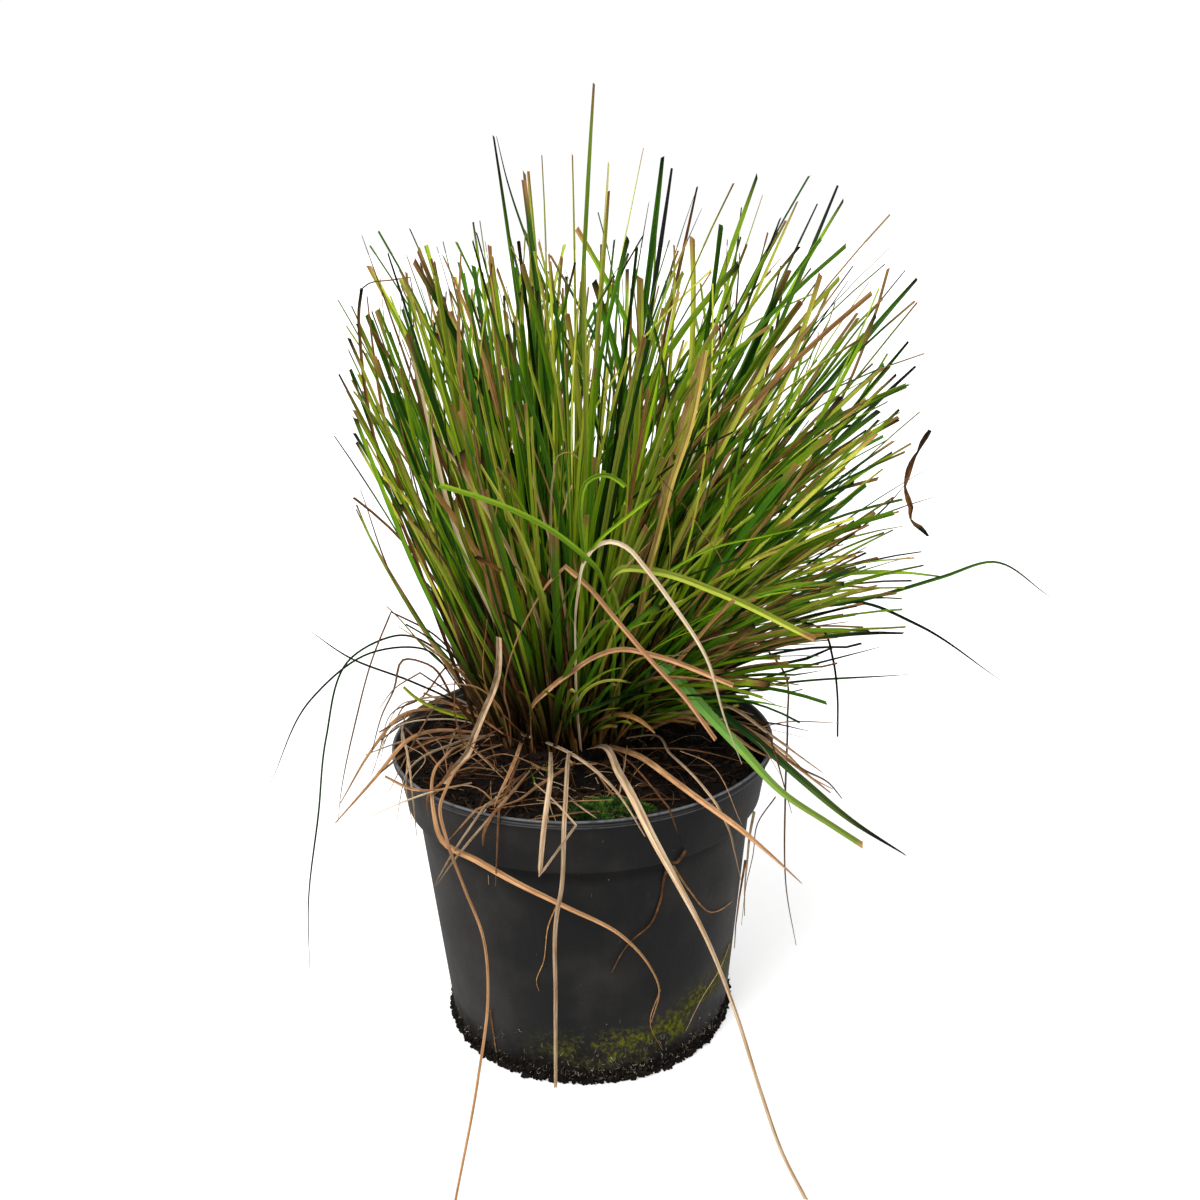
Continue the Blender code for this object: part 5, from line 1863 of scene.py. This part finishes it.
# Living and darkened blades that stand in front of the fan or beside it
LOOSE_BLADES = (
    Loose(1.3, Look.BLACK, ((36, 22, 150), (80, 12, 190), (108, 4, 206), (120, 1, 202), (125, 0, 188), (128, 0, 169),
        (129, 0, 145)), Tip.CUT),
    Loose(1.0, Look.DEEP, ((108, 0, 234), (150, 0, 266), (158, 0, 276)), Tip.NEEDLE),
    Loose(3.0, Look.BROWN, ((167, 0, 300), (162, 0, 291), (158, 0, 281), (157, 0, 271), (160, 0, 263), (160, 0, 257),
        (165, 0, 253), (169, 0, 249)), Tip.CUT, 11.0, 0.3),
    Loose(2.2, Look.DEEP, ((28, 24, 150), (27, 26, 213), (23, 22, 256), (15, 20, 291), (6, 20, 320), (-6, 22, 354),
        (-18, 25, 387), (-27, 28, 416), (-31, 30, 435)), Tip.NEEDLE),
    Loose(1.4, Look.DEEP, ((40, 24, 150), (92, 28, 162), (174, 30, 166)), Tip.NEEDLE),
    Loose(1.4, Look.DEEP, ((38, 20, 150), (90, 22, 168), (156, 20, 186)), Tip.NEEDLE),
    Loose(3.4, Look.LEMON, ((-14, 12, 150), (-14, -14, 200), (-15, -62, 238), (-16, -86, 254), (-21, -102, 278),
        (-28, -112, 297), (-35, -113, 311)), Tip.FRAYED, 0.0, 0.34),
    Loose(1.5, Look.STRAW, ((-10, 12, 150), (-11, -20, 210), (-11, -70, 260), (-10, -98, 285), (-8, -112, 306),
        (-6, -114, 314), (-2, -113, 315), (2, -112, 312)), Tip.FRAYED, 1.5),
    Loose(2.3, Look.SAGE, ((5, 10, 150), (4, -20, 205), (3, -74, 250), (3, -96, 268), (2, -105, 283), (2, -112, 296),
        (4, -113, 303), (10, -113, 306), (14, -112, 305), (19, -112, 301)), Tip.CUT, 0.8),
    Loose(1.6, Look.GREEN, ((-14, 10, 150), (-9, -18, 202), (-3, -66, 243), (0, -88, 258), (9, -101, 278),
        (18, -107, 287), (32, -112, 299)), Tip.CUT),
    Loose(1.6, Look.TAN_BLACK, ((30, 6, 150), (40, -20, 205), (54, -74, 249), (58, -94, 265), (48, -106, 282),
        (44, -110, 289), (37, -112, 298), (33, -112, 303)), Tip.FRAYED, 1.6),
    Loose(1.4, Look.GREEN, ((-14, -16, 150), (-10, -50, 195), (4, -65, 219), (17, -79, 242), (30, -87, 255),
        (56, -98, 273), (72, -101, 277), (100, -105, 284)), Tip.NEEDLE),
    Loose(2.8, Look.STEM, ((20, 8, 150), (22, -18, 196), (26, -68, 236), (29, -94, 266), (31, -101, 276),
        (37, -112, 304), (43, -113, 322), (49, -113, 351)), Tip.CUT),
    Loose(2.0, Look.DEEP, ((-12, -10, 150), (-8, -32, 170), (-3, -41, 180), (6, -45, 184), (18, -50, 191),
        (35, -54, 194)), Tip.NEEDLE),
    Loose(1.6, Look.GREEN, ((-8, -12, 150), (-6, -40, 184), (4, -54, 200), (13, -58, 207),
        (24, -60, 209)), Tip.NEEDLE),
    Loose(1.4, Look.STEM, ((14, -12, 150), (18, -50, 200), (26, -66, 215), (45, -66, 216)), Tip.FRAYED),
    Loose(1.0, Look.GREEN, ((-22, -55, 145), (-23, -55, 153), (-25, -55, 160)), Tip.NEEDLE),
    Loose(1.0, Look.GREEN, ((-16, -47, 145), (-17, -47, 154), (-18, -48, 161)), Tip.NEEDLE),
    Loose(1.2, Look.FRESH, ((-39, -64, 146), (-42, -69, 151), (-44, -72, 155)), Tip.NEEDLE),
    # the hooked blade at the top of the left side
    Loose(1.9, Look.BROWN, ((-46, 10, 150), (-66, 8, 240), (-76, 6, 320), (-71, 3, 355), (-70, 2, 365), (-71, 2, 375),
        (-80, 0, 374), (-89, -2, 373), (-93, -4, 370)), Tip.CUT, 1.0),
    Loose(1.8, Look.BROWN, ((-52, 6, 150), (-76, 0, 240), (-92, -4, 305), (-95, -2, 344), (-94, -4, 362),
        (-92, -4, 371)), Tip.CUT),
)


@dataclass
class Straw:
    """Dead blades lying on the compost and hanging over the rim."""

    seed: int = 101
    rim: float = 95 * MM
    rim_top: float = 153.5 * MM
    crown_centre: tuple[float, float] = (-10 * MM, 28 * MM)

    def singles(self, loose: Sequence[Loose], chance: Random) -> list[Blade]:
        """Blades along routes of their own."""
        return [routed_blade(in_metres(one.route), one.width * MM, one.look.value, one.tip, chance, one.fold,
                             one.twist) for one in loose]

    def over_rim(self, count: int, middle: float, spread: float, drop: float, chance: Random) -> list[Blade]:
        """Dead blades that leave the crown low and bend over the rim.

        Args:
            count: how many.
            middle: bearing of their middle, in degrees.
            spread: half of the bearings that they cover, in degrees.
            drop: how far the longest ones hang below the rim, in metres.
            chance: source of their unevenness.

        Returns:
            The blades.
        """
        blades = []
        for _ in range(count):
            bearing = radians(middle + chance.uniform(-spread, spread))
            out = heading_of(bearing)
            side = np.array((-out[1], out[0]))
            drift = chance.gauss(0, 12) * MM
            foot = np.array(self.crown_centre) + out * chance.uniform(30, 43) * MM + side * chance.gauss(0, 6) * MM
            rim = out * self.rim + side * drift
            rim = unit(rim) * (self.rim - 1 * MM)
            hump = foot * 0.45 + rim * 0.55
            past = rim + unit(rim) * chance.uniform(5, 22) * MM + side * drift * 0.4
            fall = chance.uniform(0.1, 1.0) * drop
            top = chance.uniform(2, 14) * MM
            route = ((*foot, 147 * MM), (*hump, self.rim_top + top * 0.6), (*rim, self.rim_top + top * 0.5),
                     (*past, self.rim_top - fall))
            tone = Tone(min(max(chance.gauss(0.58, 0.24), 0.05), 1.0), 1.0)
            blades.append(routed_blade(route, chance.uniform(0.4, 1.2) * MM, tone, Tip.FRAYED, chance, 0.2,
                                       chance.gauss(0, 0.6)))
        return blades

    def tangle(self, count: int, middle: float, spread: float, chance: Random) -> list[Blade]:
        """Short straws caught across one another on the rim, each with a kink.

        Args:
            count: how many.
            middle: bearing of their middle, in degrees.
            spread: how far they scatter from it, in degrees.
            chance: source of their unevenness.

        Returns:
            The blades.
        """
        blades = []
        for _ in range(count):
            bearing = radians(middle + chance.gauss(0, spread))
            radius = chance.uniform(50, 104) * MM
            level = self.rim_top + chance.uniform(-1, 10) * MM
            knot = np.append(radius * heading_of(bearing), level)
            turn = bearing + chance.gauss(0, 0.9)
            slopes = ((turn, chance.uniform(-0.7, 0.0)),
                      (turn + pi + chance.gauss(0, 0.35), chance.uniform(-0.3, 0.2)))
            ways = [np.append(heading_of(angle), slope) for angle, slope in slopes]
            legs = [chance.uniform(12, 38) * MM for _ in ways]
            outer, inner = (knot + way * leg for way, leg in zip(ways, legs))
            inner[2] = max(inner[2], 146 * MM)
            tone = Tone(min(max(chance.gauss(0.52, 0.26), 0.0), 1.0), 1.0)
            blades.append(routed_blade((inner, knot, outer), chance.uniform(0.4, 1.0) * MM, tone, Tip.FRAYED, chance,
                                       0.2, chance.gauss(0, 0.6)))
        return blades

    def on_soil(self, count: int, chance: Random) -> list[Blade]:
        """Dead blades and bits of straw lying across the compost.

        Args:
            count: how many.
            chance: source of their unevenness.

        Returns:
            The blades.
        """
        blades = []
        bed = Bed()
        while len(blades) < count:
            bearing = chance.gauss(radians(215), radians(70))
            radius = chance.uniform(30, 84) * MM
            centre = radius * heading_of(bearing)
            turn = chance.uniform(0, tau)
            length = chance.uniform(12, 60) * MM
            start, end = (centre + heading_of(turn) * length / 2 * side for side in (-1, 1))
            if max(np.hypot(*start), np.hypot(*end)) > 89 * MM:
                continue
            rise = length * chance.choice((0.02, 0.1, 0.3)) * chance.random()
            low, high = bed.height_at(*start) + 1.0 * MM, bed.height_at(*end) + 1.0 * MM + rise
            middle = (start + end) / 2 + np.array((chance.gauss(0, 0.9), chance.gauss(0, 0.9))) * MM
            level = max((low + high) / 2, bed.height_at(*middle) + 0.8 * MM)
            route = ((*start, low), (*middle, level + chance.uniform(0.2, 1.4) * MM), (*end, high))
            tone = Tone(min(1.0, chance.choice((0.0, 0.05, 0.2, 0.45, 0.75)) + chance.uniform(0, 0.15)), 1.0)
            blades.append(routed_blade(route, chance.uniform(0.25, 0.8) * MM, tone, Tip.FRAYED, chance, 0.2,
                                       chance.gauss(0, 0.8)))
        return blades

    def build(self) -> None:
        """Make and dress the straw."""
        finish = BladeFinish("straw_blade", dead=BLEACHED).material()
        chance = Random(self.seed + 1)
        heaps = {
            "straw_single": self.singles(LOOSE_STRAWS, chance),
            "straw_over_left_rim": self.over_rim(6, 196, 26, 30 * MM, chance),
            "straw_over_right_rim": self.over_rim(4, -14, 24, 8 * MM, chance),
            "straw_tangle": self.tangle(12, 200, 16, chance) + self.tangle(5, -10, 18, chance),
            "straw_over_back_rim": self.over_rim(8, 90, 60, 20 * MM, chance),
            "straw_on_compost": self.on_soil(84, chance),
        }
        for name, blades in heaps.items():
            settle(Stock.of(blades).piece(name, finish, 40.0), "dry_leaf")
        # Deep painted shade at the feet of the loose blades, where the clump hides them; their feet are also browner
        living = BladeFinish("loose_blade", foot_painted_shade=0.82, foot_brown=0.88, brown_reach=0.5, painted_shade_span=0.6)
        loose = Stock.of(self.singles(LOOSE_BLADES, chance))
        settle(loose.piece("loose_blades", living.material(), 40.0), "green_leaf")


# Floor, light and camera


@dataclass
class Studio:
    """Pale floor, soft light from above and the front left, and the photograph's viewpoint."""

    eye: tuple[float, float, float] = (0.0, -0.5563, 0.3959)
    pitch: float = radians(17.405)
    yaw: float = radians(1.069)
    roll: float = radians(-1.421)
    lens: float = 36.0
    sensor: float = 36.0
    floor_size: float = 40.0
    sky: float = 1.02
    sky_below: float = 0.42
    key_power: float = 2.3
    key_softness: float = radians(26)
    key_from: tuple[float, float, float] = (-0.55, -0.7, 1.25)

    def camera(self) -> None:
        """Place the camera where the photograph was taken from."""
        level = cos(self.pitch)
        forward = Vector((sin(self.yaw) * level, cos(self.yaw) * level, -sin(self.pitch)))
        right = Vector((cos(self.yaw), -sin(self.yaw), 0.0))
        up = right.cross(forward)
        cosine, sine = cos(self.roll), sin(self.roll)
        axis_x, axis_y = right * cosine + up * sine, up * cosine - right * sine
        turn = Matrix((axis_x, axis_y, -forward)).transposed()
        data = bpy.data.cameras.new("photo_camera")
        data.lens = self.lens
        data.sensor_width = self.sensor
        data.clip_start = 0.01
        camera = bpy.data.objects.new("photo_camera", data)
        camera.matrix_world = Matrix.Translation(self.eye) @ turn.to_4x4()
        bpy.context.collection.objects.link(camera)
        bpy.context.scene.camera = camera

    def floor(self) -> None:
        """Lay the floor."""
        shape = bmesh.new()
        bmesh.ops.create_grid(shape, x_segments=8, y_segments=8, size=self.floor_size / 2)
        mesh = bpy.data.meshes.new("studio_floor")
        shape.to_mesh(mesh)
        shape.free()
        floor = link_piece("studio_floor", mesh, FloorFinish().material(), 30.0)
        floor.visible_diffuse = False
        floor.visible_glossy = False

    def light(self) -> None:
        """Hang the soft key light under a white sky."""
        world = bpy.data.worlds.new("white_sky")
        bench = Bench(world)
        height = bench.split(bench.node("ShaderNodeTexCoord", {}, {}, "Generated"))[2]
        strength = self.sky_below + bench.fade(height, -0.15, -0.01) * (self.sky - self.sky_below)
        background = bench.tree.nodes["Background"]
        bench.join(background.inputs["Color"], (1.0, 1.0, 1.0))
        bench.join(background.inputs["Strength"], strength)
        bpy.context.scene.world = world
        data = bpy.data.lights.new("key_light", "SUN")
        data.energy = self.key_power
        data.angle = self.key_softness
        lamp = bpy.data.objects.new("key_light", data)
        lamp.rotation_euler = Vector(self.key_from).to_track_quat("Z", "Y").to_euler()
        bpy.context.collection.objects.link(lamp)
        bpy.context.scene.view_settings.view_transform = "Standard"

    def build(self) -> None:
        """Set up the camera, floor and light."""
        self.camera()
        self.floor()
        self.light()


def main() -> None:
    """Build the plant from the pot upwards, then the studio round it."""
    logging.basicConfig(level=logging.INFO, format="%(name)s %(message)s")
    for part in (Pot(), Bed(), Clump(), Strays(), Straw(), Studio()):
        part.build()


if __name__ == "__main__":
    main()
